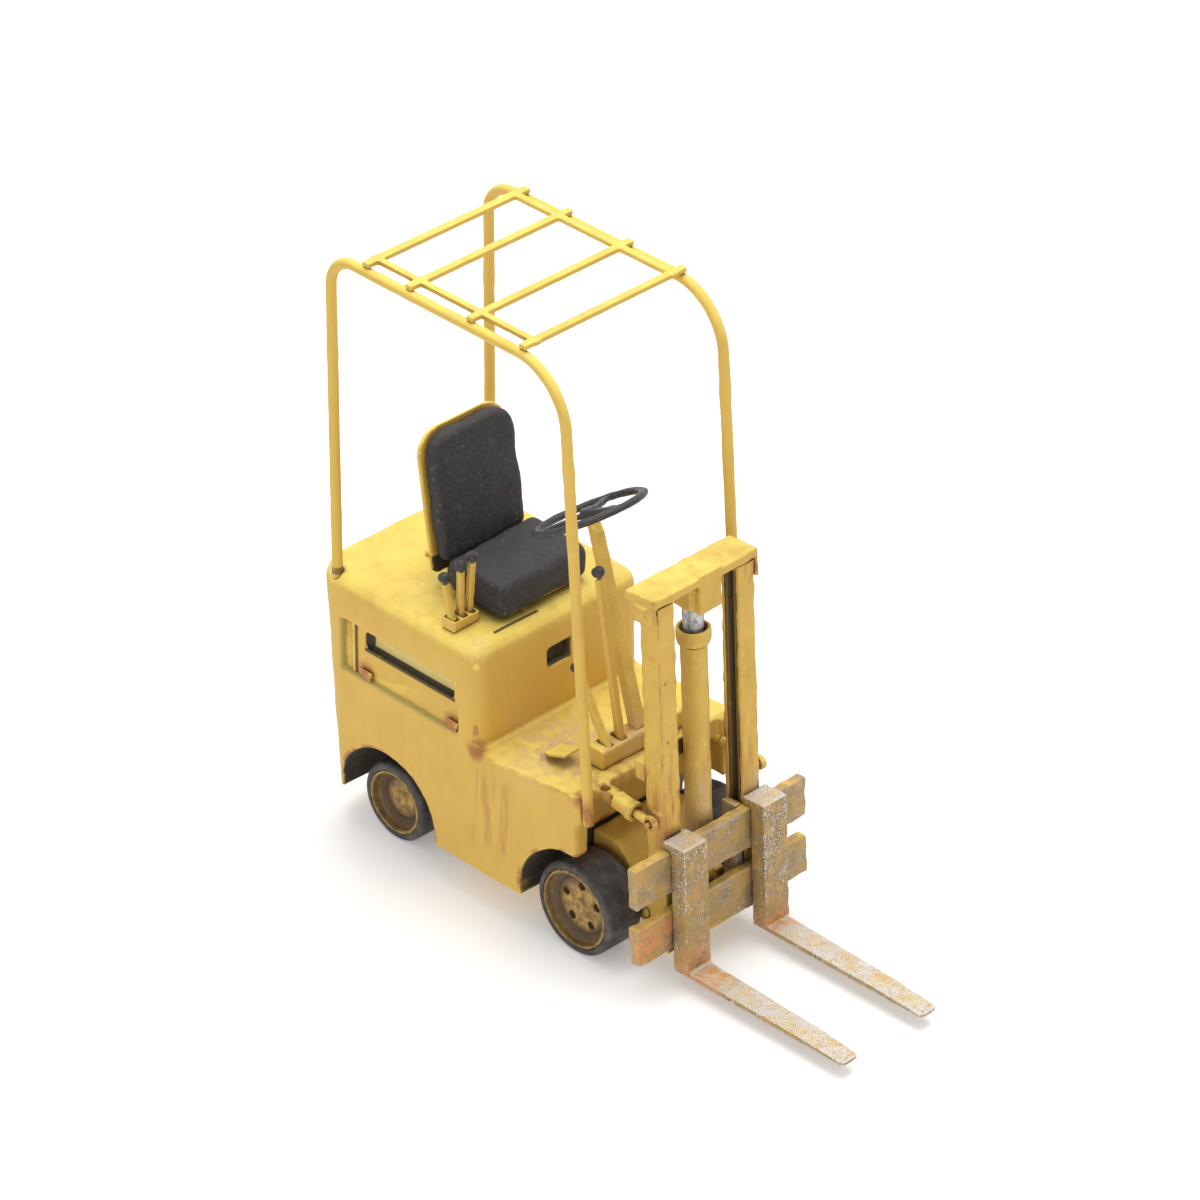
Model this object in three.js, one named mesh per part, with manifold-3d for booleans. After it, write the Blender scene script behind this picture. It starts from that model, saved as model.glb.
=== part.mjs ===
// Toy forklift, a 1:87 scale miniature. Millimetres, +Z up, forward is -Y, driver's right is -X.
// Origin: on the ground, on the symmetry plane, halfway between fork tips and counterweight.
import * as THREE from 'three';
import { mergeVertices } from 'three/addons/utils/BufferGeometryUtils.js';
import Module from 'manifold-3d';

const wasm = await Module();
wasm.setup();

// ---------------------------------------------------------------- driving dimensions
const BODY_HALF_WIDTH = 5.15; // side of the body casting
const FRONT_DRAW_IN = 0.2; // each side draws in by this much towards the front edge
const BODY_FRONT = -0.35; // front edge of the floor
const WHEELBASE = 11.9;
const REAR_OVERHANG = 4.7; // rear axle to the back of the counterweight, at its top
const REAR_LEAN = 3.8; // degrees, the counterweight's back draws in towards the ground
const SKIRT_BOTTOM = 1.7;
const FLOOR_Z = 8.0; // floor where it meets the hood
const FLOOR_RISE = 0.5; // the floor climbs by this much towards its front edge
const HOOD_FRONT = 5.7;
const HOOD_TOP = 13.13;
const HOOD_ROUND = 0.8; // rounding of the hood's top edges
const REAR_CORNER = 2.0; // plan radius of the rear corners

const FRONT_TYRE_R = 2.28;
const FRONT_RIM_R = 1.93;
const FRONT_TYRE_WIDTH = 2.0;
const FRONT_INSET = 0.42; // outer face of the front tyre inside the body side
const FRONT_ARCH_R = 3.0;
const REAR_TYRE_R = 1.95;
const REAR_RIM_R = 1.58;
const REAR_TYRE_WIDTH = 1.25;
const REAR_INSET = 0.75;
const REAR_ARCH_R = 3.1;
const REAR_ARCH_SHIFT = 0.3; // the rear arch sits this far ahead of the axle

const ROOF_TOP = 29.7;
const ROOF_FRONT = 2.85;
const GUARD_WIRE_R = 0.25;
const GUARD_INSET = 0.45; // hoop centre inside the body side
const REAR_POST_Y = 15.05;
const POST_SOCKET = 0.5; // the rear posts stand this deep in the hood
const FRONT_POST_FOOT = [-0.9, 7.25]; // Y and Z of the front post's lower end
const FRONT_POST_TOP_Y = 0.75; // where the front post's line meets the roof height
const STRIP_WIDTH = 0.5;
const SIDE_STRIP_WIDTH = 0.34;
const STRIP_THICK = 0.24;

const MAST_LEAN = 3; // degrees, leaning back
const MAST_PIVOT = [-2.3, 2.28]; // Y and Z
const MAST_DEPTH = 1.1;
const MAST_FACE = -1.74; // front plane of the uprights, from the pivot
const MAST_OUTER = 2.94; // outer face of each upright
const MAST_WIDTH = 1.0; // width of each upright
const MAST_FOOT = 1.0;
const MAST_TOP = 18.95; // top of the crosshead
const CROSSHEAD_OVER = 0.25; // the crosshead reaches this far past each upright
const CROSSHEAD_THICK = 0.45;

const CARRIAGE_HALF = 5.29;
const BAR_THICK = 0.52;
const UPPER_BAR = [4.6, 6.62]; // bottom and top
const LOWER_BAR = [1.65, 3.57];
const FORK_X = 2.47;
const FORK_WIDTH = 1.34; // of the blade at its heel
const FORK_TIP_WIDTH = 1.05;
const FORK_THICK = 0.28;
const FORK_UNDER = 0.62; // underside of the blade above the ground
const FORK_TIP = -14.66;
const SHANK_THICK = 0.85;
const SHANK_WIDTH = 1.45;

const SEAT_LEAN = 9; // degrees
const SEAT_HEIGHT = 7.37; // top of the back above the hood
const SEAT_REAR = 11.1; // rear plane of the back shell where it meets the hood
const CUSHION_FRONT = 6.5;
const CUSHION_HEIGHT = 1.92; // above the hood

const WHEEL_HUB = [3.9, 19.0]; // Y and Z of the steering wheel's centre
const WHEEL_LEAN = 31; // degrees, towards the driver
const WHEEL_RING_R = 2.52;

const GAP = 0.02; // between parts that are fixed against each other
const RUN = 0.035; // between parts that turn or slide in each other

// the parts are drawn from the front axle, and moved to the middle of the whole length
const ORIGIN_Y = (FORK_TIP + WHEELBASE + REAR_OVERHANG) / 2;

// ---------------------------------------------------------------- shape helpers
function solid(geometry) {
  const bare = new THREE.BufferGeometry();
  bare.setAttribute('position', geometry.getAttribute('position'));
  if (geometry.index) bare.setIndex(geometry.index);
  const merged = mergeVertices(bare, 1e-4);
  return new wasm.Manifold(new wasm.Mesh({
    numProp: 3,
    vertProperties: new Float32Array(merged.getAttribute('position').array),
    triVerts: new Uint32Array(merged.index.array),
  }));
}

function box(x0, x1, y0, y1, z0, z1) {
  const g = new THREE.BoxGeometry(x1 - x0, y1 - y0, z1 - z0);
  g.translate((x0 + x1) / 2, (y0 + y1) / 2, (z0 + z1) / 2);
  return solid(g);
}

// cylinder along X, Y or Z; r may be a pair [start radius, end radius]
function round(axis, r, from, to, a, b, sides = 14) {
  const [r0, r1] = Array.isArray(r) ? r : [r, r];
  const g = new THREE.CylinderGeometry(r1, r0, to - from, sides);
  if (axis === 'x') {
    g.rotateZ(-Math.PI / 2);
    g.translate((from + to) / 2, a, b);
  } else if (axis === 'y') {
    g.translate(a, (from + to) / 2, b);
  } else {
    g.rotateX(Math.PI / 2);
    g.translate(a, b, (from + to) / 2);
  }
  return solid(g);
}

function ball(r, x, y, z, sides = 10) {
  const g = new THREE.SphereGeometry(r, sides, sides / 2);
  g.translate(x, y, z);
  return solid(g);
}

// outline whose corners [x, y, radius] are rounded by an arc where a radius is given
function outline(corners) {
  const shape = new THREE.Shape();
  corners.forEach(([x, y, r = 0], i) => {
    const before = corners[(i + corners.length - 1) % corners.length];
    const after = corners[(i + 1) % corners.length];
    const here = new THREE.Vector2(x, y);
    if (r === 0) {
      if (i === 0) shape.moveTo(x, y);
      else shape.lineTo(x, y);
      return;
    }
    const toBefore = new THREE.Vector2(before[0] - x, before[1] - y).normalize();
    const toAfter = new THREE.Vector2(after[0] - x, after[1] - y).normalize();
    const half = Math.acos(THREE.MathUtils.clamp(toBefore.dot(toAfter), -1, 1)) / 2;
    const start = here.clone().addScaledVector(toBefore, r / Math.tan(half));
    const end = here.clone().addScaledVector(toAfter, r / Math.tan(half));
    const middle = toBefore.clone().add(toAfter).normalize();
    const centre = here.clone().addScaledVector(middle, r / Math.sin(half));
    if (i === 0) shape.moveTo(start.x, start.y);
    else if (shape.curves.length === 0) shape.lineTo(start.x, start.y);
    shape.absarc(centre.x, centre.y, r, start.clone().sub(centre).angle(),
      end.clone().sub(centre).angle(), toAfter.cross(toBefore) < 0);
  });
  shape.closePath();
  return shape;
}

const PLANES = {
  // outline in X, Y, depth along +Z
  xy: new THREE.Matrix4(),
  // outline in Y, Z, depth along +X
  yz: new THREE.Matrix4().makeBasis(
    new THREE.Vector3(0, 1, 0), new THREE.Vector3(0, 0, 1), new THREE.Vector3(1, 0, 0)),
  // outline in X, Z, depth along -Y
  xz: new THREE.Matrix4().makeBasis(
    new THREE.Vector3(1, 0, 0), new THREE.Vector3(0, 0, 1), new THREE.Vector3(0, -1, 0)),
};

// plate of the outline between two depths, its rims rounded by `rim` if given
function plate(plane, corners, from, to, rim = 0, rimSteps = 2, arcSteps = 2) {
  const g = new THREE.ExtrudeGeometry(outline(corners), {
    depth: to - from - 2 * rim,
    curveSegments: arcSteps,
    bevelEnabled: rim > 0,
    bevelSize: rim,
    bevelOffset: -rim,
    bevelThickness: rim,
    bevelSegments: rimSteps,
  });
  g.translate(0, 0, from + rim);
  g.applyMatrix4(PLANES[plane]);
  return solid(g);
}

// body of revolution about the X axis from points [distance along X, radius]
function turned(points, sides) {
  const g = new THREE.LatheGeometry(points.map(([x, r]) => new THREE.Vector2(r, x)), sides);
  g.rotateZ(-Math.PI / 2);
  const s = solid(g);
  return s.volume() < 0 ? solid(flipped(g)) : s;
}

function flipped(g) {
  const index = g.index.array;
  for (let i = 0; i < index.length; i += 3) {
    const held = index[i];
    index[i] = index[i + 1];
    index[i + 1] = held;
  }
  return g;
}

function union(parts) {
  return parts.reduce((all, part) => all.add(part));
}

function cut(from, parts) {
  return parts.reduce((left, part) => left.subtract(part), from);
}

// turn about an X-parallel line through [y, z]; positive degrees lean the top back, towards +Y
function lean(part, [y, z], degrees) {
  return part.translate([0, -y, -z]).rotate([-degrees, 0, 0]).translate([0, y, z]);
}

function mirrored(part) {
  return part.mirror([1, 0, 0]);
}

const root = new THREE.Group();
root.name = 'toy_forklift';

function add(name, part, finish) {
  const mesh = part.getMesh();
  const g = new THREE.BufferGeometry();
  const coords = new Float32Array(mesh.numVert * 3);
  for (let i = 0; i < mesh.numVert; i += 1) {
    for (let k = 0; k < 3; k += 1) coords[3 * i + k] = mesh.vertProperties[mesh.numProp * i + k];
    coords[3 * i + 1] -= ORIGIN_Y;
  }
  g.setAttribute('position', new THREE.BufferAttribute(coords, 3));
  g.setIndex(new THREE.BufferAttribute(new Uint32Array(mesh.triVerts), 1));
  g.computeVertexNormals();
  const [color, roughness, metalness] = finish;
  const node = new THREE.Mesh(g, new THREE.MeshStandardMaterial({ color, roughness, metalness }));
  node.name = name;
  root.add(node);
}

// a part and its twin on the driver's left
function addPair(name, part, finish) {
  add(`${name}_right`, part, finish);
  add(`${name}_left`, mirrored(part), finish);
}

const YELLOW = [0xd9b84e, 0.6, 0.0];
const RUSTY = [0xb9a26c, 0.6, 0.2];
const SILVER = [0xb4b3b8, 0.35, 0.8];
const BLACK = [0x2e2c2f, 0.75, 0.0];
const RUBBER = [0x343236, 0.85, 0.0];

// ---------------------------------------------------------------- derived places
const BODY_REAR = WHEELBASE + REAR_OVERHANG;
const SEAT_TOP = HOOD_TOP + SEAT_HEIGHT;
const CUSHION_TOP = HOOD_TOP + CUSHION_HEIGHT;
const GUARD_X = BODY_HALF_WIDTH - GUARD_INSET;
const GUARD_Z = ROOF_TOP - STRIP_THICK - GAP - GUARD_WIRE_R;
const FRONT_TYRE_OUT = BODY_HALF_WIDTH - FRONT_INSET;
const FRONT_TYRE_IN = FRONT_TYRE_OUT - FRONT_TYRE_WIDTH;
const REAR_TYRE_OUT = BODY_HALF_WIDTH - REAR_INSET;
const REAR_TYRE_IN = REAR_TYRE_OUT - REAR_TYRE_WIDTH;
const MAST_FRONT = MAST_PIVOT[0] + MAST_FACE; // before the lean
const MAST_REAR = MAST_FRONT + MAST_DEPTH;
const MAST_INNER = MAST_OUTER - MAST_WIDTH;
const CROSSHEAD_HALF = MAST_OUTER + CROSSHEAD_OVER;
const floorZ = (y) => FLOOR_Z + (FLOOR_RISE * (HOOD_FRONT - y)) / (HOOD_FRONT - BODY_FRONT);

// ---------------------------------------------------------------- body casting
const WELL_DEPTH_IN = 1.9; // inner wall of the rear wheel wells
const PANEL = { front: 1.2, rear: 8.7, bottom: 8.42, top: 11.05, sunk: 0.35 }; // from the hood front
const SLOT = { front: 1.6, rear: 7.35, bottom: 9.95, top: 10.98, deep: 0.62 };
const TILT_X = MAST_OUTER + 0.435; // plane of each tilt cylinder
const TILT_REAR_PIN = [-0.95, 8.2]; // Y and Z
const TILT_PIN_R = 0.15;
const TILT_EYE_R = 0.34;
const TILT_TONGUE = 0.18; // half width of the barrel's rear tongue
const PEDAL = { x: 3.1, half: 0.55, heel: 2.9, toe: 1.75 };
const PEDAL_PIN_R = 0.09;

function bodyCasting() {
  const w = BODY_HALF_WIDTH;
  const lowerPlan = [
    [-w + FRONT_DRAW_IN, BODY_FRONT, 0.15],
    [w - FRONT_DRAW_IN, BODY_FRONT, 0.15],
    [w, BODY_FRONT + 3.2, 0.6],
    [w, BODY_REAR, REAR_CORNER],
    [-w, BODY_REAR, REAR_CORNER],
    [-w, BODY_FRONT + 3.2, 0.6],
  ];
  const hoodPlan = [
    [-w, HOOD_FRONT, 0.9],
    [w, HOOD_FRONT, 0.9],
    [w, BODY_REAR, REAR_CORNER],
    [-w, BODY_REAR, REAR_CORNER],
  ];
  const sideView = [
    [BODY_FRONT - 1, SKIRT_BOTTOM - 1],
    [BODY_REAR + 1, SKIRT_BOTTOM - 1],
    [BODY_REAR + 1, FLOOR_Z],
    [HOOD_FRONT, FLOOR_Z],
    [BODY_FRONT - 1, floorZ(BODY_FRONT - 1)],
  ];
  let body = plate('xy', lowerPlan, SKIRT_BOTTOM, FLOOR_Z + 2 * FLOOR_RISE, 0, 1, 3)
    .intersect(plate('yz', sideView, -w - 1, w + 1));
  body = body.add(plate('xy', hoodPlan, FLOOR_Z - 2 * HOOD_ROUND, HOOD_TOP, HOOD_ROUND, 3, 3));
  const rearForm = lean(plate('xy', [
    [-w, BODY_FRONT - 10],
    [w, BODY_FRONT - 10],
    [w, BODY_REAR, REAR_CORNER],
    [-w, BODY_REAR, REAR_CORNER],
  ], SKIRT_BOTTOM - 5, HOOD_TOP + 5, 0, 1, 3), [BODY_REAR, HOOD_TOP], REAR_LEAN);
  body = body.intersect(rearForm);
  // post feet, clevises for the tilt cylinders and ears for the pedal
  for (const side of [-1, 1]) {
    const pad = box(GUARD_X - 0.3, GUARD_X + 0.2, BODY_FRONT - 0.19, BODY_FRONT + 0.3, 7.1, 8.5);
    body = body.add(side < 0 ? mirrored(pad) : pad);
    for (const cheek of [TILT_X - TILT_TONGUE - 0.2, TILT_X + TILT_TONGUE + RUN]) {
      const x0 = side < 0 ? -cheek - 0.165 : cheek;
      const lug = box(x0, x0 + 0.165, TILT_REAR_PIN[0], BODY_FRONT + 0.2, 7.95, 8.45)
        .add(round('x', 0.28, x0, x0 + 0.165, TILT_REAR_PIN[0], TILT_REAR_PIN[1]));
      body = body.add(lug);
    }
    body = body.add(round('x', TILT_PIN_R, side * TILT_X - 0.36, side * TILT_X + 0.36,
      TILT_REAR_PIN[0], TILT_REAR_PIN[1], 12));
    const earX = -PEDAL.x + side * (PEDAL.half + 0.1);
    body = body.add(box(earX - 0.07, earX + 0.07, PEDAL.heel - 0.16, PEDAL.heel + 0.16,
      FLOOR_Z - 0.2, floorZ(PEDAL.heel) + 0.42));
  }
  body = body.add(round('x', PEDAL_PIN_R, -PEDAL.x - PEDAL.half - 0.1, -PEDAL.x + PEDAL.half + 0.1,
    PEDAL.heel, floorZ(PEDAL.heel) + 0.25, 12));
  const cuts = [];
  // the open bay behind the mast, under the floor's front edge
  cuts.push(box(-4.2, 4.2, BODY_FRONT - 0.1, 1.25, SKIRT_BOTTOM - 1, 7.9));
  for (const side of [-1, 1]) {
    const wheelWell = (r, y, z, from) => (side < 0
      ? round('x', r, -w - 1, -from, y, z, 32)
      : round('x', r, from, w + 1, y, z, 32));
    cuts.push(wheelWell(FRONT_ARCH_R, 0, FRONT_TYRE_R, FRONT_TYRE_IN - 0.3));
    cuts.push(wheelWell(REAR_ARCH_R, WHEELBASE - REAR_ARCH_SHIFT, REAR_TYRE_R, WELL_DEPTH_IN));
    // recess for the side panel, with a deeper pocket behind the panel's slot
    const recess = box(w - PANEL.sunk, w + 1, HOOD_FRONT + PANEL.front, HOOD_FRONT + PANEL.rear,
      PANEL.bottom, PANEL.top);
    const pocket = box(w - SLOT.deep, w, HOOD_FRONT + SLOT.front, HOOD_FRONT + SLOT.rear,
      SLOT.bottom, SLOT.top);
    cuts.push(side < 0 ? mirrored(recess) : recess);
    cuts.push(side < 0 ? mirrored(pocket) : pocket);
    // socket for the rear post
    cuts.push(round('z', GUARD_WIRE_R + GAP, HOOD_TOP - POST_SOCKET - GAP, HOOD_TOP + 1,
      side * GUARD_X, REAR_POST_Y, 16));
    // side grooves of the cover outline on the hood
    cuts.push(box(side * 3.4 - 0.04, side * 3.4 + 0.04, HOOD_FRONT + 0.75, BODY_REAR - 2.0,
      HOOD_TOP - 0.08, HOOD_TOP + 0.1));
  }
  // front and rear grooves of the cover outline
  for (const y of [HOOD_FRONT + 0.75, BODY_REAR - 2.0]) {
    cuts.push(box(-3.44, 3.44, y - 0.04, y + 0.04, HOOD_TOP - 0.08, HOOD_TOP + 0.1));
  }
  // hand slot in the hood's front face
  cuts.push(box(-0.75, 0.6, HOOD_FRONT - 0.1, HOOD_FRONT + 0.6, 10.55, 11.4));
  // tunnel for the steering axle between the rear wheel wells
  cuts.push(box(-WELL_DEPTH_IN - 0.1, WELL_DEPTH_IN + 0.1, WHEELBASE - 1.1, WHEELBASE + 2.0,
    SKIRT_BOTTOM - 1, 3.1));
  return cut(body, cuts);
}
add('body_casting', bodyCasting(), YELLOW);

// side panel: a thin plate with a long slot, a door strip at its rear and two lumpy hinge blocks
function sidePanel() {
  const inner = BODY_HALF_WIDTH - PANEL.sunk + GAP;
  const outer = inner + 0.1;
  const y0 = HOOD_FRONT + PANEL.front + GAP;
  const y1 = HOOD_FRONT + PANEL.rear - GAP;
  const z0 = PANEL.bottom + GAP;
  const z1 = PANEL.top - GAP;
  const slot = plate('yz', [
    [HOOD_FRONT + SLOT.front, SLOT.bottom, 0.25],
    [HOOD_FRONT + SLOT.rear, SLOT.bottom, 0.25],
    [HOOD_FRONT + SLOT.rear, SLOT.top - 0.1, 0.25],
    [HOOD_FRONT + SLOT.front, SLOT.top - 0.1, 0.25],
  ], inner - 1, outer + 1);
  let panel = box(inner, outer, y0, y1, z0, z1).subtract(slot);
  panel = panel.add(box(inner, outer + 0.06, y1 - 0.75, y1 - 0.55, z0, z1));
  for (const y of [y0 + 0.3, y1 - 1.55]) {
    panel = panel.add(box(inner, outer + 0.2, y - 0.2, y + 0.3, z0, z0 + 0.32));
    panel = panel.add(round('y', 0.13, y - 0.3, y + 0.42, outer + 0.13, z0 + 0.32, 8));
  }
  return mirrored(panel);
}
addPair('side_panel', sidePanel(), YELLOW);

// ---------------------------------------------------------------- overhead guard
// hoop of round wire: rear post, roof rail and raked front post in one bend
function guardHoop() {
  const x = -GUARD_X;
  const top = GUARD_Z;
  const rearBend = 1.5;
  const frontBend = 2.7;
  const foot = new THREE.Vector3(x, FRONT_POST_FOOT[0], FRONT_POST_FOOT[1]);
  const knee = new THREE.Vector3(x, FRONT_POST_TOP_Y, top);
  const down = foot.clone().sub(knee).normalize();
  const rearTop = new THREE.Vector3(x, REAR_POST_Y, top);
  const rearLow = new THREE.Vector3(x, REAR_POST_Y, HOOD_TOP - POST_SOCKET);
  const p1 = rearTop.clone().add(new THREE.Vector3(0, 0, -rearBend));
  const p2 = rearTop.clone().add(new THREE.Vector3(0, -rearBend, 0));
  const p3 = knee.clone().add(new THREE.Vector3(0, frontBend, 0));
  const p4 = knee.clone().addScaledVector(down, frontBend);
  const bend = (a, corner, b) => {
    const k = 0.5523; // a cubic arc
    return new THREE.CubicBezierCurve3(a, a.clone().lerp(corner, k), b.clone().lerp(corner, k), b);
  };
  // stations only where the wire bends, so that straight lengths are single facets
  const arc = (curve, steps) => Array.from({ length: steps + 1 }, (_, i) => curve.getPoint(i / steps));
  return wireAlong([
    rearLow,
    ...arc(bend(p1, rearTop, p2), 5),
    ...arc(bend(p3, knee, p4), 7),
    foot,
  ], GUARD_WIRE_R, 5);
}

// path through straight stations; the section at each station is square to the mean direction
class Stations extends THREE.Curve {
  constructor(points) {
    super();
    this.points = points;
  }

  getPointAt(u, target = new THREE.Vector3()) {
    return target.copy(this.points[Math.round(u * (this.points.length - 1))]);
  }

  getTangentAt(u, target = new THREE.Vector3()) {
    const last = this.points.length - 1;
    const i = Math.round(u * last);
    const into = this.points[Math.max(i, 1)].clone().sub(this.points[Math.max(i, 1) - 1]).normalize();
    const out = this.points[Math.min(i, last - 1) + 1].clone().sub(this.points[Math.min(i, last - 1)]);
    return target.copy(into.add(out.normalize())).normalize();
  }
}

function wireAlong(points, radius, halfSides) {
  const ring = new THREE.Shape();
  ring.absarc(0, 0, radius, 0, 2 * Math.PI);
  return solid(new THREE.ExtrudeGeometry(ring, {
    steps: points.length - 1,
    curveSegments: halfSides,
    extrudePath: new Stations(points),
  }));
}
addPair('guard_hoop', guardHoop(), YELLOW);

// roof of flat strips: two along the rails, four across, their ends lapping over the hoops
function roofGrid() {
  const z0 = ROOF_TOP - STRIP_THICK;
  const half = STRIP_WIDTH / 2;
  const stripX = GUARD_X - 0.62;
  const sideHalf = SIDE_STRIP_WIDTH / 2;
  const first = ROOF_FRONT + half;
  const spans = [0, 3.2, 6.95, 9.62]; // places of the crossbars behind the first one
  const parts = [];
  for (const side of [-1, 1]) {
    parts.push(box(side * stripX - sideHalf, side * stripX + sideHalf, ROOF_FRONT,
      first + spans[3] + half, z0, ROOF_TOP));
  }
  for (const span of spans) {
    parts.push(box(-GUARD_X - 0.1, GUARD_X + 0.1, first + span - half * 0.8,
      first + span + half * 0.8, z0, ROOF_TOP));
  }
  return union(parts);
}
add('roof_grid', roofGrid(), YELLOW);

// ---------------------------------------------------------------- seat
const SEAT_HALF = 2.65;
const seatFoot = [SEAT_REAR, HOOD_TOP + 0.17];
function seatShell() {
  const thick = 0.2;
  const back = lean(plate('xz', [
    [-SEAT_HALF, HOOD_TOP + 0.6, 0.4],
    [SEAT_HALF, HOOD_TOP + 0.6, 0.4],
    [SEAT_HALF, SEAT_TOP, 1.25],
    [-SEAT_HALF, SEAT_TOP, 1.25],
  ], -SEAT_REAR, -SEAT_REAR + thick, 0, 1, 3), seatFoot, SEAT_LEAN);
  const pan = box(-1.9, 1.9, CUSHION_FRONT + 0.45, SEAT_REAR + 0.05, HOOD_TOP + GAP, HOOD_TOP + 0.2);
  const heel = box(-1.6, 1.6, SEAT_REAR - 0.22, SEAT_REAR + 0.18, HOOD_TOP + GAP, HOOD_TOP + 1.0);
  return union([back, pan, heel]);
}
add('seat_shell', seatShell(), YELLOW);

function seatBackPad() {
  const rear = SEAT_REAR - 0.2 - GAP;
  return lean(plate('xz', [
    [-SEAT_HALF + 0.16, HOOD_TOP + 1.25, 0.35],
    [SEAT_HALF - 0.16, HOOD_TOP + 1.25, 0.35],
    [SEAT_HALF - 0.16, SEAT_TOP - 0.12, 1.15],
    [-SEAT_HALF + 0.16, SEAT_TOP - 0.12, 1.15],
  ], -rear, -rear + 0.8, 0.26, 2, 2), seatFoot, SEAT_LEAN);
}
add('seat_back_pad', seatBackPad(), BLACK);

function seatCushion() {
  const slope = Math.tan(THREE.MathUtils.degToRad(SEAT_LEAN));
  const low = HOOD_TOP + 0.22;
  const rearLow = SEAT_REAR - 1.1;
  return plate('yz', [
    [CUSHION_FRONT + 0.1, low, 0.34],
    [rearLow, low, 0.34],
    [rearLow + (CUSHION_TOP - low) * slope, CUSHION_TOP - 0.1, 0.34],
    [CUSHION_FRONT, CUSHION_TOP, 0.55],
  ], -SEAT_HALF - 0.05, SEAT_HALF + 0.05, 0.3, 2, 2);
}
add('seat_cushion', seatCushion(), BLACK);

// small angle that holds the back shell down on the hood
function seatBracket() {
  const y0 = SEAT_REAR + 0.2;
  return union([
    box(-1.1, -0.2, y0 + 0.4, y0 + 1.9, HOOD_TOP + GAP, HOOD_TOP + 0.22),
    box(-0.95, -0.35, y0 + 1.2, y0 + 1.7, HOOD_TOP + 0.1, HOOD_TOP + 0.5),
  ]);
}
add('seat_bracket', seatBracket(), YELLOW);

// ---------------------------------------------------------------- dash, column and wheel
const DASH = { half: 2.6, front: 0.35, rear: 1.4, top: 9.4 };
const LEVER_PIVOT = [0.75, 9.15];
const LEVERS = { lift: { x: -1.96, back: 30, long: 3.5 }, tilt: { x: -1.15, back: 10, long: 7.9 } };
const LEVER_HALF = 0.17;
const TRUNNION_R = 0.09;

function dashBlock() {
  const low = floorZ(DASH.rear) - 0.12;
  const block = plate('yz', [
    [DASH.front, low, 0],
    [DASH.rear, low, 0],
    [DASH.rear, DASH.top, 0.15],
    [DASH.front, DASH.top, 0.15],
  ], -DASH.half, DASH.half);
  const cuts = [plate('yz', [
    [DASH.front - 1, floorZ(DASH.front - 1) + GAP],
    [DASH.rear + 1, floorZ(DASH.rear + 1) + GAP],
    [DASH.rear + 1, low - 1],
    [DASH.front - 1, low - 1],
  ].reverse(), -DASH.half - 1, DASH.half + 1)];
  for (const { x } of Object.values(LEVERS)) {
    cuts.push(box(x - LEVER_HALF - RUN, x + LEVER_HALF + RUN, LEVER_PIVOT[0] - 0.27,
      LEVER_PIVOT[0] + 0.52, LEVER_PIVOT[1] - 0.3, DASH.top + 1));
    cuts.push(round('x', TRUNNION_R + RUN, x - LEVER_HALF - 0.2, x + LEVER_HALF + 0.2,
      LEVER_PIVOT[0], LEVER_PIVOT[1], 12));
  }
  return cut(block, cuts);
}
add('dash_block', dashBlock(), YELLOW);

const wheelAxis = [0, Math.sin(THREE.MathUtils.degToRad(WHEEL_LEAN)),
  Math.cos(THREE.MathUtils.degToRad(WHEEL_LEAN))];
const COLUMN_FOOT_Y = 0.87;
const SPINDLE_R = 0.15;

// flat tapered post standing on the dash, with a boss and spindle for the wheel
function steeringColumn() {
  const bossLow = 0.95; // boss length below the wheel's centre
  const topY = WHEEL_HUB[0] - wheelAxis[1] * (bossLow - 0.1);
  const topZ = WHEEL_HUB[1] - wheelAxis[2] * (bossLow - 0.1);
  const footZ = DASH.top + GAP;
  const post = plate('yz', [
    [COLUMN_FOOT_Y - 0.3, footZ],
    [COLUMN_FOOT_Y + 0.3, footZ],
    [topY + 0.2, topZ],
    [topY - 0.2, topZ],
  ], -0.3, 0.3);
  const boss = lean(round('z', 0.32, WHEEL_HUB[1] - bossLow, WHEEL_HUB[1] - 0.24, 0, WHEEL_HUB[0], 14),
    WHEEL_HUB, WHEEL_LEAN);
  const spindle = lean(round('z', SPINDLE_R, WHEEL_HUB[1] - 0.4, WHEEL_HUB[1] - 0.02, 0, WHEEL_HUB[0], 14),
    WHEEL_HUB, WHEEL_LEAN);
  return union([post, boss, spindle]);
}
add('steering_column', steeringColumn(), YELLOW);

function steeringWheel() {
  const wire = 0.19;
  const profile = [];
  const facets = 6;
  for (let i = 0; i <= facets; i += 1) {
    const a = ((i % facets) / facets) * 2 * Math.PI;
    profile.push([wire * Math.sin(a), WHEEL_RING_R + wire * Math.cos(a)]);
  }
  const ring = turned(profile, 20).rotate([0, -90, 0]);
  const parts = [ring, round('z', [0.5, 0.36], -0.2, 0.24, 0, 0, 14)];
  for (let i = 0; i < 3; i += 1) {
    parts.push(box(-0.14, 0.14, 0, WHEEL_RING_R, -0.1, 0.08).rotate([0, 0, 120 * i + 60]));
  }
  const bore = round('z', SPINDLE_R + RUN, -0.5, 0.02, 0, 0, 14);
  const wheel = cut(union(parts), [bore]);
  return lean(wheel.translate([0, WHEEL_HUB[0], WHEEL_HUB[1]]), WHEEL_HUB, WHEEL_LEAN);
}
add('steering_wheel', steeringWheel(), BLACK);

// lever with a round eye and trunnions at its pivot, standing up before its own lean
function lever(x, [y, z], back, long, half) {
  const stick = plate('yz', [
    [y - half, z],
    [y + half, z],
    [y + half * 0.75, z + long],
    [y - half * 0.75, z + long],
  ], x - half, x + half);
  const eye = round('x', half + 0.05, x - half, x + half, y, z, 12);
  const pin = round('x', TRUNNION_R, x - half - 0.14, x + half + 0.14, y, z, 12);
  return lean(union([stick, eye, pin]), [y, z], back);
}

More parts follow.
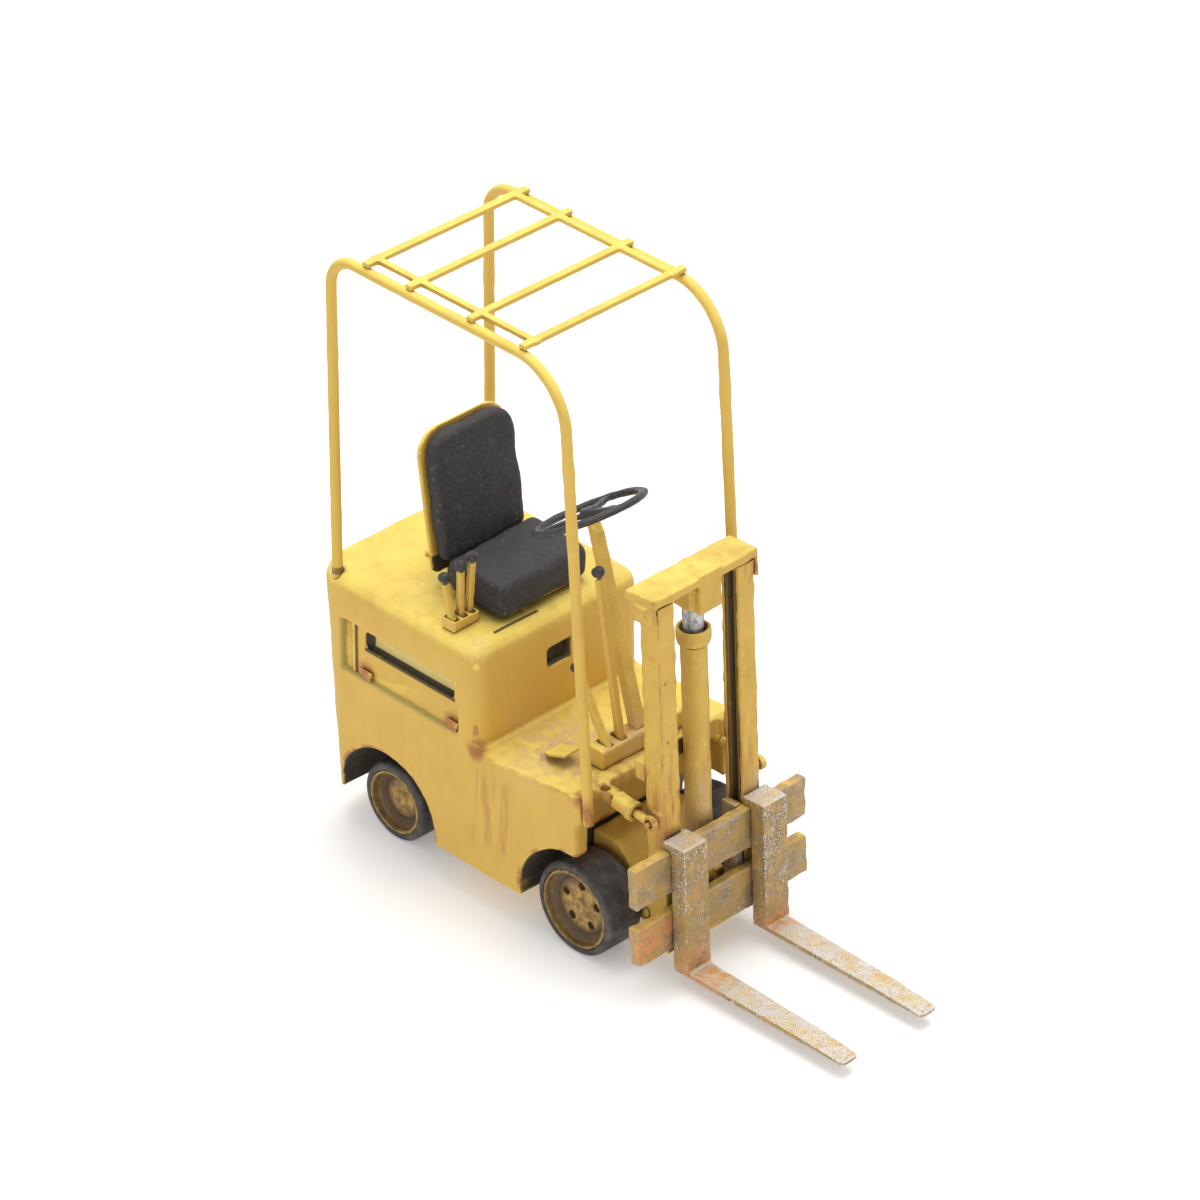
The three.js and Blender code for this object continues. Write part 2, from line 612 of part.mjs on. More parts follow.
function knob(x, pivot, back, long, r) {
  const shape = ball(r, x, pivot[0], pivot[1] + long + r + GAP);
  return lean(shape, pivot, back);
}
for (const [name, { x, back, long }] of Object.entries(LEVERS)) {
  add(`${name}_lever`, lever(x, LEVER_PIVOT, back, long, LEVER_HALF), YELLOW);
  add(`${name}_lever_knob`, knob(x, LEVER_PIVOT, back, long, 0.3), BLACK);
}

// ---------------------------------------------------------------- hand levers beside the seat
const HAND_PIVOT = [8.0, HOOD_TOP + 0.38];
const HAND_LEVERS = { brake: [-4.36, 14, 1.75], direction: [-3.86, -1, 2.35], speed: [-3.36, -5, 2.7] };
const HAND_HALF = 0.155;
function handLeverBracket() {
  const block = box(-4.62, -3.1, HAND_PIVOT[0] - 0.42, HAND_PIVOT[0] + 0.42,
    HOOD_TOP + GAP, HOOD_TOP + 0.55);
  const cuts = [];
  for (const [x] of Object.values(HAND_LEVERS)) {
    cuts.push(box(x - HAND_HALF - 0.02, x + HAND_HALF + 0.02, HAND_PIVOT[0] - 0.36,
      HAND_PIVOT[0] + 0.36, HOOD_TOP + 0.14, HOOD_TOP + 1));
    cuts.push(round('x', 0.06 + 0.02, x - HAND_HALF - 0.045, x + HAND_HALF + 0.045,
      HAND_PIVOT[0], HAND_PIVOT[1], 10));
  }
  return cut(block, cuts);
}
add('hand_lever_bracket', handLeverBracket(), YELLOW);

for (const [name, [x, back, long]] of Object.entries(HAND_LEVERS)) {
  const stick = plate('yz', [
    [HAND_PIVOT[0] - HAND_HALF, HAND_PIVOT[1]],
    [HAND_PIVOT[0] + HAND_HALF, HAND_PIVOT[1]],
    [HAND_PIVOT[0] + HAND_HALF * 0.9, HAND_PIVOT[1] + long],
    [HAND_PIVOT[0] - HAND_HALF * 0.9, HAND_PIVOT[1] + long],
  ], x - HAND_HALF, x + HAND_HALF);
  const eye = round('x', HAND_HALF + 0.05, x - HAND_HALF, x + HAND_HALF, ...HAND_PIVOT, 10);
  const pin = round('x', 0.06, x - HAND_HALF - 0.035, x + HAND_HALF + 0.035, ...HAND_PIVOT, 10);
  add(`${name}_lever`, lean(union([stick, eye, pin]), HAND_PIVOT, back), YELLOW);
  add(`${name}_lever_knob`, knob(x, HAND_PIVOT, back, long, 0.29), BLACK);
}

// ---------------------------------------------------------------- pedal
function pedal() {
  const z = floorZ(PEDAL.heel) + 0.25;
  const x0 = -PEDAL.x - PEDAL.half;
  const x1 = -PEDAL.x + PEDAL.half;
  const barrel = round('x', PEDAL_PIN_R + 0.09, x0, x1, PEDAL.heel, z, 12);
  const tread = plate('yz', [
    [PEDAL.heel, z],
    [PEDAL.heel + 0.02, z + 0.15],
    [PEDAL.toe, z + 0.62],
    [PEDAL.toe - 0.04, z + 0.46],
  ], x0, x1);
  const bore = round('x', PEDAL_PIN_R + RUN, x0 - 1, x1 + 1, PEDAL.heel, z, 12);
  return union([barrel, tread]).subtract(bore);
}
add('accelerator_pedal', pedal(), YELLOW);

// ---------------------------------------------------------------- drive axle and front wheels
const FRONT_PIN_R = 0.4;
const REAR_PIN_R = 0.3;
const PIVOT_SHAFT_R = 0.28;
const LUG_OUT = MAST_OUTER - 0.32; // outer face of each mast lug on the pivot shaft
const LUG_IN = LUG_OUT - 0.5;

function driveAxleHousing() {
  const casing = plate('yz', [
    [-1.35, 1.2, 0.5],
    [1.25 - GAP, 1.2, 0.2],
    [1.25 - GAP, 4.9, 0.1],
    [-0.4, 4.9, 0.9],
    [-1.35, 3.6, 0.6],
  ], -2.35, 2.35, 0, 1, 2);
  const tube = round('x', 0.75, -FRONT_TYRE_IN + 0.06, FRONT_TYRE_IN - 0.06, 0, FRONT_TYRE_R, 18);
  const reach = FRONT_TYRE_IN + 1.2;
  const pins = round('x', FRONT_PIN_R, -reach, reach, 0, FRONT_TYRE_R, 14);
  const shaft = round('x', PIVOT_SHAFT_R, -LUG_OUT - 0.05, LUG_OUT + 0.05, ...MAST_PIVOT, 12);
  const lugs = [-1, 1].map((side) => box(side * 1.7 - 0.3, side * 1.7 + 0.3, MAST_PIVOT[0] - 0.4, -1.2,
    MAST_PIVOT[1] - 0.45, MAST_PIVOT[1] + 0.45));
  return union([casing, tube, pins, shaft, ...lugs]);
}
add('drive_axle_housing', driveAxleHousing(), YELLOW);

function tyre(outerR, innerR, from, to) {
  const c = 0.65 * (outerR - innerR); // rounding of the shoulders
  return turned([
    [from, innerR],
    [from, outerR - c],
    [from + c * 0.35, outerR - c * 0.35],
    [from + c, outerR],
    [to - c, outerR],
    [to - c * 0.35, outerR - c * 0.35],
    [to, outerR - c],
    [to, innerR],
    [from, innerR],
  ], 24);
}

// dished steel disc wheel; `to` is its outer face, the blind bore opens on the inside
function discWheel(r, from, to, dish, pinR, pinEnd, holes) {
  const seat = 0.16; // thickness of the rim band
  const disc = 0.28;
  const profile = [
    [from, 0],
    [from, r],
    [to, r],
    [to + 0.04, r - seat * 0.6],
    [to, r - seat],
    [to - dish * 0.55, r - seat],
    [to - dish, r - seat - 0.32],
    [to - dish + disc * 0.3, r - seat - 0.4],
    [to - dish + disc * 0.3, 0.42],
    [to - dish + disc * 0.9, 0.3],
    [to - dish + disc * 0.9, 0],
  ];
  const bore = round('x', pinR + RUN, from - 1, pinEnd + RUN * 2, 0, 0, 14);
  const hollow = round('x', r - 0.22, from - 1, to - dish - 0.35, 0, 0, 24);
  const hub = round('x', pinR + 0.3, from, to - dish - 0.1, 0, 0, 14);
  let wheel = turned(profile, 24).subtract(hollow).add(hub).subtract(bore);
  for (let i = 0; i < holes; i += 1) {
    const a = (2 * Math.PI * (i + 0.25)) / holes;
    const at = (r - seat) * 0.56;
    const centre = [at * Math.cos(a), at * Math.sin(a)];
    wheel = wheel.subtract(round('x', r * 0.115, to - dish - 0.2, to, ...centre, 6));
  }
  return wheel;
}
const frontWheelAt = [0, 0, FRONT_TYRE_R];
const rearWheelAt = [0, WHEELBASE, REAR_TYRE_R];
addPair('front_tyre', mirrored(tyre(FRONT_TYRE_R, FRONT_RIM_R + GAP, FRONT_TYRE_IN, FRONT_TYRE_OUT)
  .translate(frontWheelAt)), RUBBER);
addPair('front_rim', mirrored(discWheel(FRONT_RIM_R, FRONT_TYRE_IN + 0.1, FRONT_TYRE_OUT, 0.55, FRONT_PIN_R,
  FRONT_TYRE_IN + 1.2, 5).translate(frontWheelAt)), YELLOW);
addPair('rear_tyre', mirrored(tyre(REAR_TYRE_R, REAR_RIM_R + GAP, REAR_TYRE_IN, REAR_TYRE_OUT)
  .translate(rearWheelAt)), RUBBER);
addPair('rear_rim', mirrored(discWheel(REAR_RIM_R, REAR_TYRE_IN + 0.05, REAR_TYRE_OUT, 0.6, REAR_PIN_R,
  REAR_TYRE_IN + 0.5, 0).translate(rearWheelAt)), YELLOW);

// ---------------------------------------------------------------- steering axle
const KING_X = 2.6;
const KING_R = 0.2;
const ARM = 1.0; // steering arm, behind the king pin
const BALL_R = 0.14;
const BEAM_Z = [1.65, 2.25];

function steerAxleBeam() {
  const mid = (BEAM_Z[0] + BEAM_Z[1]) / 2;
  const beam = box(-KING_X, KING_X, WHEELBASE - 0.35, WHEELBASE + 0.35, BEAM_Z[0], BEAM_Z[1]);
  const ends = [-1, 1].map((s) => round('z', 0.36, BEAM_Z[0], BEAM_Z[1], s * KING_X, WHEELBASE, 12));
  const holes = [-1, 1].map((s) => round('z', KING_R + RUN, 0, 5, s * KING_X, WHEELBASE, 12));
  const saddle = box(-0.9, 0.9, WHEELBASE - 0.7, WHEELBASE + 0.7, mid, 3.1 - GAP);
  return cut(union([beam, ...ends, saddle]), holes);
}
add('steer_axle_beam', steerAxleBeam(), YELLOW);

// knuckle: a fork over the beam end with the king pin in it, a stub axle and a steering arm
function knuckle() {
  const x = -KING_X;
  const low = BEAM_Z[0] - RUN - 0.3;
  const high = BEAM_Z[1] + RUN + 0.3;
  const cheek = 0.36 + RUN; // clears the round beam end
  const arms = [box(x - cheek - 0.1, x + 0.3, WHEELBASE - 0.3, WHEELBASE + 0.3, low, BEAM_Z[0] - RUN),
    box(x - cheek - 0.1, x + 0.3, WHEELBASE - 0.3, WHEELBASE + 0.3, BEAM_Z[1] + RUN, high)];
  const web = box(-REAR_TYRE_IN + 0.03, x - cheek, WHEELBASE - 0.3, WHEELBASE + 0.3, low, high);
  const stub = round('x', REAR_PIN_R, -REAR_TYRE_IN - 0.5, x - cheek, WHEELBASE, REAR_TYRE_R, 14);
  const king = round('z', KING_R, low, high, x, WHEELBASE, 12);
  const arm = box(x - 0.2, x + 0.2, WHEELBASE, WHEELBASE + ARM + 0.2, low, BEAM_Z[0] - RUN);
  const ballPin = round('z', BALL_R, low, BEAM_Z[0] + 0.3, x, WHEELBASE + ARM, 14);
  return union([...arms, web, stub, king, arm, ballPin]);
}
addPair('steering_knuckle', knuckle(), RUSTY);

// tie rod between the two steering arms; its left eye is the opened pivot of the loop
const OPEN_PIVOT_CLEARANCE = 0.06;
function tieRod() {
  const y = WHEELBASE + ARM;
  const z0 = BEAM_Z[0] - RUN + GAP;
  const z1 = z0 + 0.26;
  const eye = (x) => round('z', 0.3, z0, z1, x, y, 12);
  const bar = box(-KING_X, KING_X, y - 0.12, y + 0.12, z0 + 0.02, z1 - 0.02);
  return cut(union([bar, eye(-KING_X), eye(KING_X)]), [
    round('z', BALL_R + RUN, 0, 5, -KING_X, y, 14),
    round('z', BALL_R + OPEN_PIVOT_CLEARANCE, 0, 5, KING_X, y, 14),
  ]);
}
add('tie_rod', tieRod(), RUSTY);

// ---------------------------------------------------------------- mast, built upright, then leaned back
const leaned = (part) => lean(part, MAST_PIVOT, MAST_LEAN);
const WEB = 0.2; // of the outer channel
const FLANGE = 0.2;
const RAIL_WALL = 0.14; // of the inner rail
const RAIL_OUT = MAST_OUTER - WEB - RUN;
const RAIL_IN = MAST_INNER + 0.04;
const RAIL_FRONT = MAST_FRONT + FLANGE + RUN;
const RAIL_REAR = MAST_REAR - FLANGE - RUN;
const CROSSHEAD_LOW = MAST_TOP - CROSSHEAD_THICK;
const TILT_MAST_PIN = [-3.35, 7.9]; // Y and Z, in place

function upright() {
  const top = CROSSHEAD_LOW - RUN;
  const outer = box(-MAST_OUTER, -MAST_INNER, MAST_FRONT, MAST_REAR, MAST_FOOT, top);
  const hollow = box(-MAST_OUTER + WEB, 0, MAST_FRONT + FLANGE, MAST_REAR - FLANGE, MAST_FOOT - 1, top + 1);
  const [pivotY, pivotZ] = MAST_PIVOT;
  const lug = box(-LUG_OUT, -LUG_IN, MAST_REAR - 0.1, pivotY, pivotZ - 0.5, pivotZ + 0.5)
    .add(round('x', 0.5, -LUG_OUT, -LUG_IN, pivotY, pivotZ, 14));
  const bore = round('x', PIVOT_SHAFT_R + RUN, -MAST_OUTER - 1, 0, pivotY, pivotZ, 12)
    .intersect(box(-MAST_OUTER - 2, 0, MAST_REAR + 0.02, 5, 0, 5));
  const steel = leaned(cut(union([outer.subtract(hollow), lug]), [bore]));
  const [y, z] = TILT_MAST_PIN;
  const pad = box(-MAST_OUTER - 0.14, -MAST_OUTER + 0.02, y - 0.3, y + 0.3, z - 0.35, z + 0.35);
  const pin = round('x', TILT_PIN_R, -TILT_X - 0.28, -MAST_OUTER + 0.02, y, z, 12);
  return union([steel, pad, pin]);
}
addPair('mast_upright', upright(), YELLOW);

add('mast_lower_tie', leaned(box(-MAST_INNER + GAP, MAST_INNER - GAP, MAST_FRONT, MAST_REAR,
  MAST_FOOT, MAST_FOOT + 0.5)), YELLOW);

const BARREL_R = 0.61;
const CYLINDER_Y = MAST_FRONT + 0.86;
add('mast_brace', leaned(union([
  box(-MAST_OUTER, MAST_OUTER, CYLINDER_Y + BARREL_R + 0.05, CYLINDER_Y + BARREL_R + 0.27, 9.4, 10.3),
  box(-MAST_OUTER, -MAST_INNER, MAST_REAR + GAP, CYLINDER_Y + BARREL_R + 0.2, 9.4, 10.3),
  box(MAST_INNER, MAST_OUTER, MAST_REAR + GAP, CYLINDER_Y + BARREL_R + 0.2, 9.4, 10.3),
])), YELLOW);

// lift cylinder: barrel on the lower tie, gland collar, polished rod up to the crosshead
const ROD_R = 0.48;
const BARREL_TOP = MAST_TOP - 3.65;
const GLAND_TOP = BARREL_TOP + 0.8;
add('lift_barrel', leaned(cut(
  round('z', BARREL_R, MAST_FOOT + 0.5 + GAP, BARREL_TOP, 0, CYLINDER_Y, 18),
  [round('z', ROD_R + RUN, 2.2, BARREL_TOP + 1, 0, CYLINDER_Y, 18)],
)), YELLOW);
add('lift_gland', leaned(cut(
  round('z', [0.72, 0.79], BARREL_TOP + GAP, BARREL_TOP + 0.3, 0, CYLINDER_Y, 18)
    .add(round('z', 0.79, BARREL_TOP + 0.3, GLAND_TOP, 0, CYLINDER_Y, 18)),
  [round('z', ROD_R + RUN, BARREL_TOP - 1, GLAND_TOP + 1, 0, CYLINDER_Y, 18),
    round('z', [0.55, 0.68], GLAND_TOP - 0.2, GLAND_TOP + 0.1, 0, CYLINDER_Y, 18)],
)), YELLOW);
const BRACKET_LOW = CROSSHEAD_LOW - 1.25;
add('lift_rod', leaned(round('z', ROD_R, 2.9, BRACKET_LOW + 0.5, 0, CYLINDER_Y, 18)), SILVER);

function innerRail() {
  const low = MAST_FOOT + 0.2;
  const high = CROSSHEAD_LOW - GAP;
  const bar = box(-RAIL_OUT, -RAIL_IN, RAIL_FRONT, RAIL_REAR, low, high);
  const hollow = box(-RAIL_OUT + RAIL_WALL, 0, RAIL_FRONT + RAIL_WALL, RAIL_REAR - RAIL_WALL,
    low - 1, high - 0.3);
  return leaned(bar.subtract(hollow));
}
addPair('inner_rail', innerRail(), YELLOW);

function crosshead() {
  const top = box(-CROSSHEAD_HALF, CROSSHEAD_HALF, MAST_FRONT - 0.03, MAST_FRONT + 1.74,
    CROSSHEAD_LOW, MAST_TOP);
  const bracket = union([
    box(-0.66, 0.66, CYLINDER_Y - 0.5, CYLINDER_Y + 0.6, BRACKET_LOW, CROSSHEAD_LOW + 0.1),
    box(-0.4, 0.9, MAST_FRONT - 0.07, CYLINDER_Y, BRACKET_LOW - 0.12, MAST_TOP + 0.12),
  ]);
  // flat oval lugs cast on the outer ends
  const lugs = [-1, 1].map((s) => {
    const x0 = s * (CROSSHEAD_HALF + 0.06) - 0.1;
    const z = CROSSHEAD_LOW - 0.2;
    return box(x0, x0 + 0.2, MAST_FRONT + 0.3, MAST_FRONT + 1.1, z - 0.2, z + 0.2);
  });
  const cheeks = [-1, 1].map((s) => box(s * (CROSSHEAD_HALF - 0.1) - 0.1, s * (CROSSHEAD_HALF - 0.1) + 0.1,
    MAST_FRONT - 0.03, MAST_FRONT + 1.3, CROSSHEAD_LOW - 0.9, CROSSHEAD_LOW + 0.1));
  const socket = round('z', ROD_R + GAP, BRACKET_LOW - 1, BRACKET_LOW + 0.5 + GAP, 0, CYLINDER_Y, 18);
  return leaned(cut(union([top, bracket, ...cheeks, ...lugs]), [socket]));
}
add('crosshead', crosshead(), YELLOW);

// ---------------------------------------------------------------- tilt cylinders
const TILT_SLOPE = THREE.MathUtils.radToDeg(
  Math.atan2(TILT_REAR_PIN[1] - TILT_MAST_PIN[1], TILT_REAR_PIN[0] - TILT_MAST_PIN[0]));
const TILT_LENGTH = Math.hypot(TILT_REAR_PIN[0] - TILT_MAST_PIN[0], TILT_REAR_PIN[1] - TILT_MAST_PIN[1]);
const TILT_BARREL_R = 0.42;
const TILT_ROD_R = 0.2;

// both are built level, reaching forward from the rear pin, then dipped to the mast pin
const dipped = (part) => lean(part, TILT_REAR_PIN, -TILT_SLOPE);
function tiltBarrel() {
  const [y, z] = TILT_REAR_PIN;
  const tongue = box(-TILT_X - TILT_TONGUE, -TILT_X + TILT_TONGUE, y - 0.5, y, z - 0.26, z + 0.26)
    .add(round('x', 0.26, -TILT_X - TILT_TONGUE, -TILT_X + TILT_TONGUE, y, z, 12));
  const tube = round('y', TILT_BARREL_R, y - 1.45, y - 0.34, -TILT_X, z, 14);
  const cap = round('y', TILT_BARREL_R + 0.05, y - 1.5, y - 1.2, -TILT_X, z, 14);
  return dipped(cut(union([tongue, tube, cap]), [
    round('x', TILT_PIN_R + RUN, -TILT_X - 1, -TILT_X + 1, y, z, 12),
    round('y', TILT_ROD_R + RUN, y - 3, y - 0.55, -TILT_X, z, 12),
  ]));
}
addPair('tilt_barrel', tiltBarrel(), YELLOW);

function tiltRod() {
  const [y, z] = TILT_REAR_PIN;
  const eyeY = y - TILT_LENGTH;
  const half = 0.15;
  const rod = round('y', TILT_ROD_R, eyeY + 0.1, y - 0.85, -TILT_X, z, 12);
  const eye = round('x', TILT_EYE_R, -TILT_X - half, -TILT_X + half, eyeY, z, 14);
  return dipped(cut(union([rod, eye]), [
    round('x', TILT_PIN_R + OPEN_PIVOT_CLEARANCE, -TILT_X - 1, -TILT_X + 1, eyeY, z, 12),
  ]));
}
addPair('tilt_rod', tiltRod(), SILVER);

// ---------------------------------------------------------------- carriage and forks
const BAR_REAR = MAST_FRONT - RUN;
const BAR_FRONT = BAR_REAR - BAR_THICK;
const PLATE_X = [MAST_INNER - 0.52, MAST_INNER - 0.16];
function carriageBar([z0, z1]) {
  return leaned(plate('xz', [
    [-CARRIAGE_HALF, z0, 0.08],
    [CARRIAGE_HALF, z0, 0.08],
    [CARRIAGE_HALF, z1, 0.08],
    [-CARRIAGE_HALF, z1, 0.08],
  ], -BAR_REAR, -BAR_FRONT, 0, 1, 2));
}
add('carriage_upper_bar', carriageBar(UPPER_BAR), RUSTY);
add('carriage_lower_bar', carriageBar(LOWER_BAR), RUSTY);

// side plate behind the bars with two rollers that run in the inner rail
function carriagePlate() {
  const rollerY = (RAIL_FRONT + RAIL_REAR) / 2;
  const rollerR = (RAIL_REAR - RAIL_FRONT) / 2 - RAIL_WALL - RUN;
  const web = box(-PLATE_X[1], -PLATE_X[0], BAR_REAR + GAP, rollerY + 0.3,
    LOWER_BAR[0] + 0.05, UPPER_BAR[1]);
  const rollers = [LOWER_BAR[0] + 0.6, UPPER_BAR[1] - 0.4].map((z) => round('x', rollerR,
    -RAIL_OUT + RAIL_WALL + 0.06, -PLATE_X[1] + 0.02, rollerY, z, 14));
  return leaned(union([web, ...rollers]));
}
addPair('carriage_plate', carriagePlate(), RUSTY);

// fork: shank hooked over the upper bar and a tapered blade that lies level
function fork() {
  const shankRear = BAR_FRONT - GAP;
  const shankFront = shankRear - SHANK_THICK;
  const hookTop = UPPER_BAR[1] + 0.42;
  const shank = leaned(union([
    box(-SHANK_WIDTH / 2, SHANK_WIDTH / 2, shankFront, shankRear, FORK_UNDER + 0.1, hookTop),
    box(-SHANK_WIDTH / 2, SHANK_WIDTH / 2, shankFront, BAR_REAR - 0.06, UPPER_BAR[1] + GAP, hookTop),
  ]));
  const heelY = shankRear - 0.06;
  const top = FORK_UNDER + FORK_THICK;
  const side = plate('yz', [
    [heelY, FORK_UNDER],
    [heelY, top],
    [FORK_TIP + 2.4, top],
    [FORK_TIP, FORK_UNDER + 0.18],
    [FORK_TIP, FORK_UNDER],
  ].reverse(), -FORK_WIDTH, FORK_WIDTH);
  const planView = plate('xy', [
    [-FORK_WIDTH / 2, heelY],
    [-FORK_TIP_WIDTH / 2, FORK_TIP, 0.25],
    [FORK_TIP_WIDTH / 2, FORK_TIP, 0.25],
    [FORK_WIDTH / 2, heelY],
  ], 0, 3);
  return shank.add(side.intersect(planView)).translate([-FORK_X, 0, 0]);
}
addPair('fork', fork(), RUSTY);

export default root;
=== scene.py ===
import math

import bmesh
import bpy
from mathutils import Matrix, Vector, noise


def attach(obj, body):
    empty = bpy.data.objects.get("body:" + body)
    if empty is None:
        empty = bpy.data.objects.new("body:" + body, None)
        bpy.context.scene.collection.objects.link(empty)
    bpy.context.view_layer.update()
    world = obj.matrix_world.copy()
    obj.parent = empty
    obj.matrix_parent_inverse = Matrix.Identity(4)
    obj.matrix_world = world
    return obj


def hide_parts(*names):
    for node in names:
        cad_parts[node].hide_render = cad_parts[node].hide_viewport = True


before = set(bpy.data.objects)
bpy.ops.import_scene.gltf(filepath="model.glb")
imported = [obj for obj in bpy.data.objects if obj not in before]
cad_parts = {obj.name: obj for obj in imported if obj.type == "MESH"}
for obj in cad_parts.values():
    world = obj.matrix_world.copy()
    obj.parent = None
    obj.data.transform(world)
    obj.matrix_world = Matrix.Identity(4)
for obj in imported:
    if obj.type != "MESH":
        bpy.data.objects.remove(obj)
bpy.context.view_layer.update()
scene = bpy.context.scene

# ---------------------------------------------------------------- body casting
# The body, hood and counterweight are one casting with softened edges and a slightly lumpy
# skin, brush-painted ochre yellow, with brown painted shade in its corners and chipped at the front.
MM = 0.001
AXLE_Y = -0.97  # the front axle's place along the truck, in mm
FRONT_WHEEL_Z = 2.28
REAR_WHEEL_Y = 11.9 + AXLE_Y
REAR_WHEEL_Z = 1.95


def piece_from(name, mesh, body, nodes, finish):
    """A finished piece that rides on its body and stands for its fitted parts."""
    piece = bpy.data.objects.new(name, mesh)
    scene.collection.objects.link(piece)
    mesh.materials.clear()
    mesh.materials.append(finish)
    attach(piece, body)
    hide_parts(*nodes)
    return piece


def fitted(node):
    """The fitted part as one merged shell, in millimetres."""
    shell = bmesh.new()
    shell.from_mesh(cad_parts[node].data)
    bmesh.ops.scale(shell, vec=(1 / MM, 1 / MM, 1 / MM), verts=shell.verts)
    bmesh.ops.remove_doubles(shell, verts=shell.verts, dist=0.002)
    return shell


def settle(shell, name, modifiers):
    """Runs the modifiers given as (kind, settings) over the shell and returns its mesh, in millimetres."""
    raw = bpy.data.meshes.new(name)
    shell.to_mesh(raw)
    shell.free()
    worker = bpy.data.objects.new(name + "_worker", raw)
    scene.collection.objects.link(worker)
    for kind, settings in modifiers:
        modifier = worker.modifiers.new(kind.lower(), kind)
        for key, value in settings.items():
            setattr(modifier, key, value)
    ready = worker.evaluated_get(bpy.context.evaluated_depsgraph_get())
    mesh = bpy.data.meshes.new_from_object(ready)
    mesh.name = name
    bpy.data.objects.remove(worker)
    bpy.data.meshes.remove(raw)
    return mesh


def lumpy(mesh, height, pitch, seed=0.0):
    """Raises and sinks the skin by up to height, in hollows about pitch across."""
    shift = Vector((seed, 2 * seed, 3 * seed))
    for vertex, normal in zip(mesh.vertices, [n.vector.copy() for n in mesh.vertex_normals]):
        vertex.co += normal * height * noise.noise(vertex.co / pitch + shift)


def cast(node, grain, ease=3, lump=0.0, pitch=1.0, seed=0.0):
    """Mesh of a cast copy: its skin resampled at grain, its edges eased, its faces a little uneven."""
    skin = ("REMESH", {"mode": "VOXEL", "voxel_size": grain})
    round_off = ("SMOOTH", {"factor": 0.5, "iterations": ease})
    mesh = settle(fitted(node), node + "_cast", [skin, round_off])
    if lump:
        lumpy(mesh, lump, pitch, seed)
    mesh.transform(Matrix.Scale(MM, 4))
    mesh.shade_smooth()
    return mesh


def put(tree, kind, inputs=(), **settings):
    """A shader node with its settings, and its inputs given as values or as other nodes' outputs."""
    made = tree.nodes.new(kind)
    for key, value in settings.items():
        setattr(made, key, value)
    for key, value in dict(inputs).items():
        if isinstance(value, bpy.types.NodeSocket):
            tree.links.new(value, made.inputs[key])
        else:
            made.inputs[key].default_value = value
    return made


def blank(name):
    """A new material with its tree, shader and the piece's own coordinates."""
    material = bpy.data.materials.new(name)
    material.use_nodes = True
    tree = material.node_tree
    place = put(tree, "ShaderNodeTexCoord").outputs["Object"]
    return material, tree, tree.nodes["Principled BSDF"], place


def cloud(tree, place, size_mm, detail=3.0, stretch=(1, 1, 1), shift=0.0):
    """Noise whose blotches are about size_mm across."""
    moved = put(tree, "ShaderNodeMapping", {
        "Vector": place, "Location": (shift, shift, shift), "Scale": stretch})
    return put(tree, "ShaderNodeTexNoise", {
        "Vector": moved.outputs[0], "Scale": 1 / (size_mm * MM), "Detail": detail, "Roughness": 0.6,
    }).outputs["Fac"]


def ramp(tree, value, low, high):
    """0 below low, 1 above high."""
    return put(tree, "ShaderNodeMapRange", {"Value": value, "From Min": low, "From Max": high}).outputs[0]


def times(tree, a, b):
    return put(tree, "ShaderNodeMath", {0: a, 1: b}, operation="MULTIPLY", use_clamp=True).outputs[0]


def over(tree, under, top, amount):
    """The colour top laid over the colour under by amount."""
    return put(tree, "ShaderNodeMix", {0: amount, 6: under, 7: top}, data_type="RGBA").outputs[2]


def near(tree, place, centre_mm, inner_mm, outer_mm):
    """1 within inner_mm of a spot on the model, fading to 0 at outer_mm."""
    spot = [c * MM for c in centre_mm]
    away = put(tree, "ShaderNodeVectorMath", {0: place, 1: spot}, operation="DISTANCE").outputs["Value"]
    return ramp(tree, away, outer_mm * MM, inner_mm * MM)


def roughen(tree, shader, height, depth_mm, strength=0.6):
    bump = put(tree, "ShaderNodeBump", {"Height": height, "Strength": strength, "Distance": depth_mm * MM})
    tree.links.new(bump.outputs[0], shader.inputs["Normal"])


def inside(tree, place, low_mm, high_mm, soft_mm=0.06):
    """1 inside the box, fading over soft_mm outside it; a box on the +X side stands on both sides."""
    if low_mm[0] >= 0:
        place = mirrored_x(tree, place)
    middle = [(a + b) / 2 * MM for a, b in zip(low_mm, high_mm)]
    half = [(b - a) / 2 * MM for a, b in zip(low_mm, high_mm)]
    off = put(tree, "ShaderNodeVectorMath", {0: place, 1: middle}, operation="SUBTRACT").outputs[0]
    off = put(tree, "ShaderNodeVectorMath", {0: off}, operation="ABSOLUTE").outputs[0]
    off = put(tree, "ShaderNodeVectorMath", {0: off, 1: half}, operation="SUBTRACT").outputs[0]
    x, y, z = put(tree, "ShaderNodeSeparateXYZ", {0: off}).outputs
    most = put(tree, "ShaderNodeMath", {0: x, 1: y}, operation="MAXIMUM").outputs[0]
    most = put(tree, "ShaderNodeMath", {0: most, 1: z}, operation="MAXIMUM").outputs[0]
    return ramp(tree, most, soft_mm * MM, 0.0)


def mirrored_x(tree, place):
    """The place with its X made positive, so that a mask stands on both sides of the model."""
    x, y, z = put(tree, "ShaderNodeSeparateXYZ", {0: place}).outputs
    side = put(tree, "ShaderNodeMath", {0: x}, operation="ABSOLUTE").outputs[0]
    return put(tree, "ShaderNodeCombineXYZ", {0: side, 1: y, 2: z}).outputs[0]


def from_axle(tree, place, y_mm, z_mm):
    """Distance from an axle's line."""
    x, y, z = put(tree, "ShaderNodeSeparateXYZ", {0: place}).outputs
    flat = put(tree, "ShaderNodeCombineXYZ", {1: y, 2: z}).outputs[0]
    return put(tree, "ShaderNodeVectorMath", {0: flat, 1: [0, y_mm * MM, z_mm * MM]},
               operation="DISTANCE").outputs["Value"]


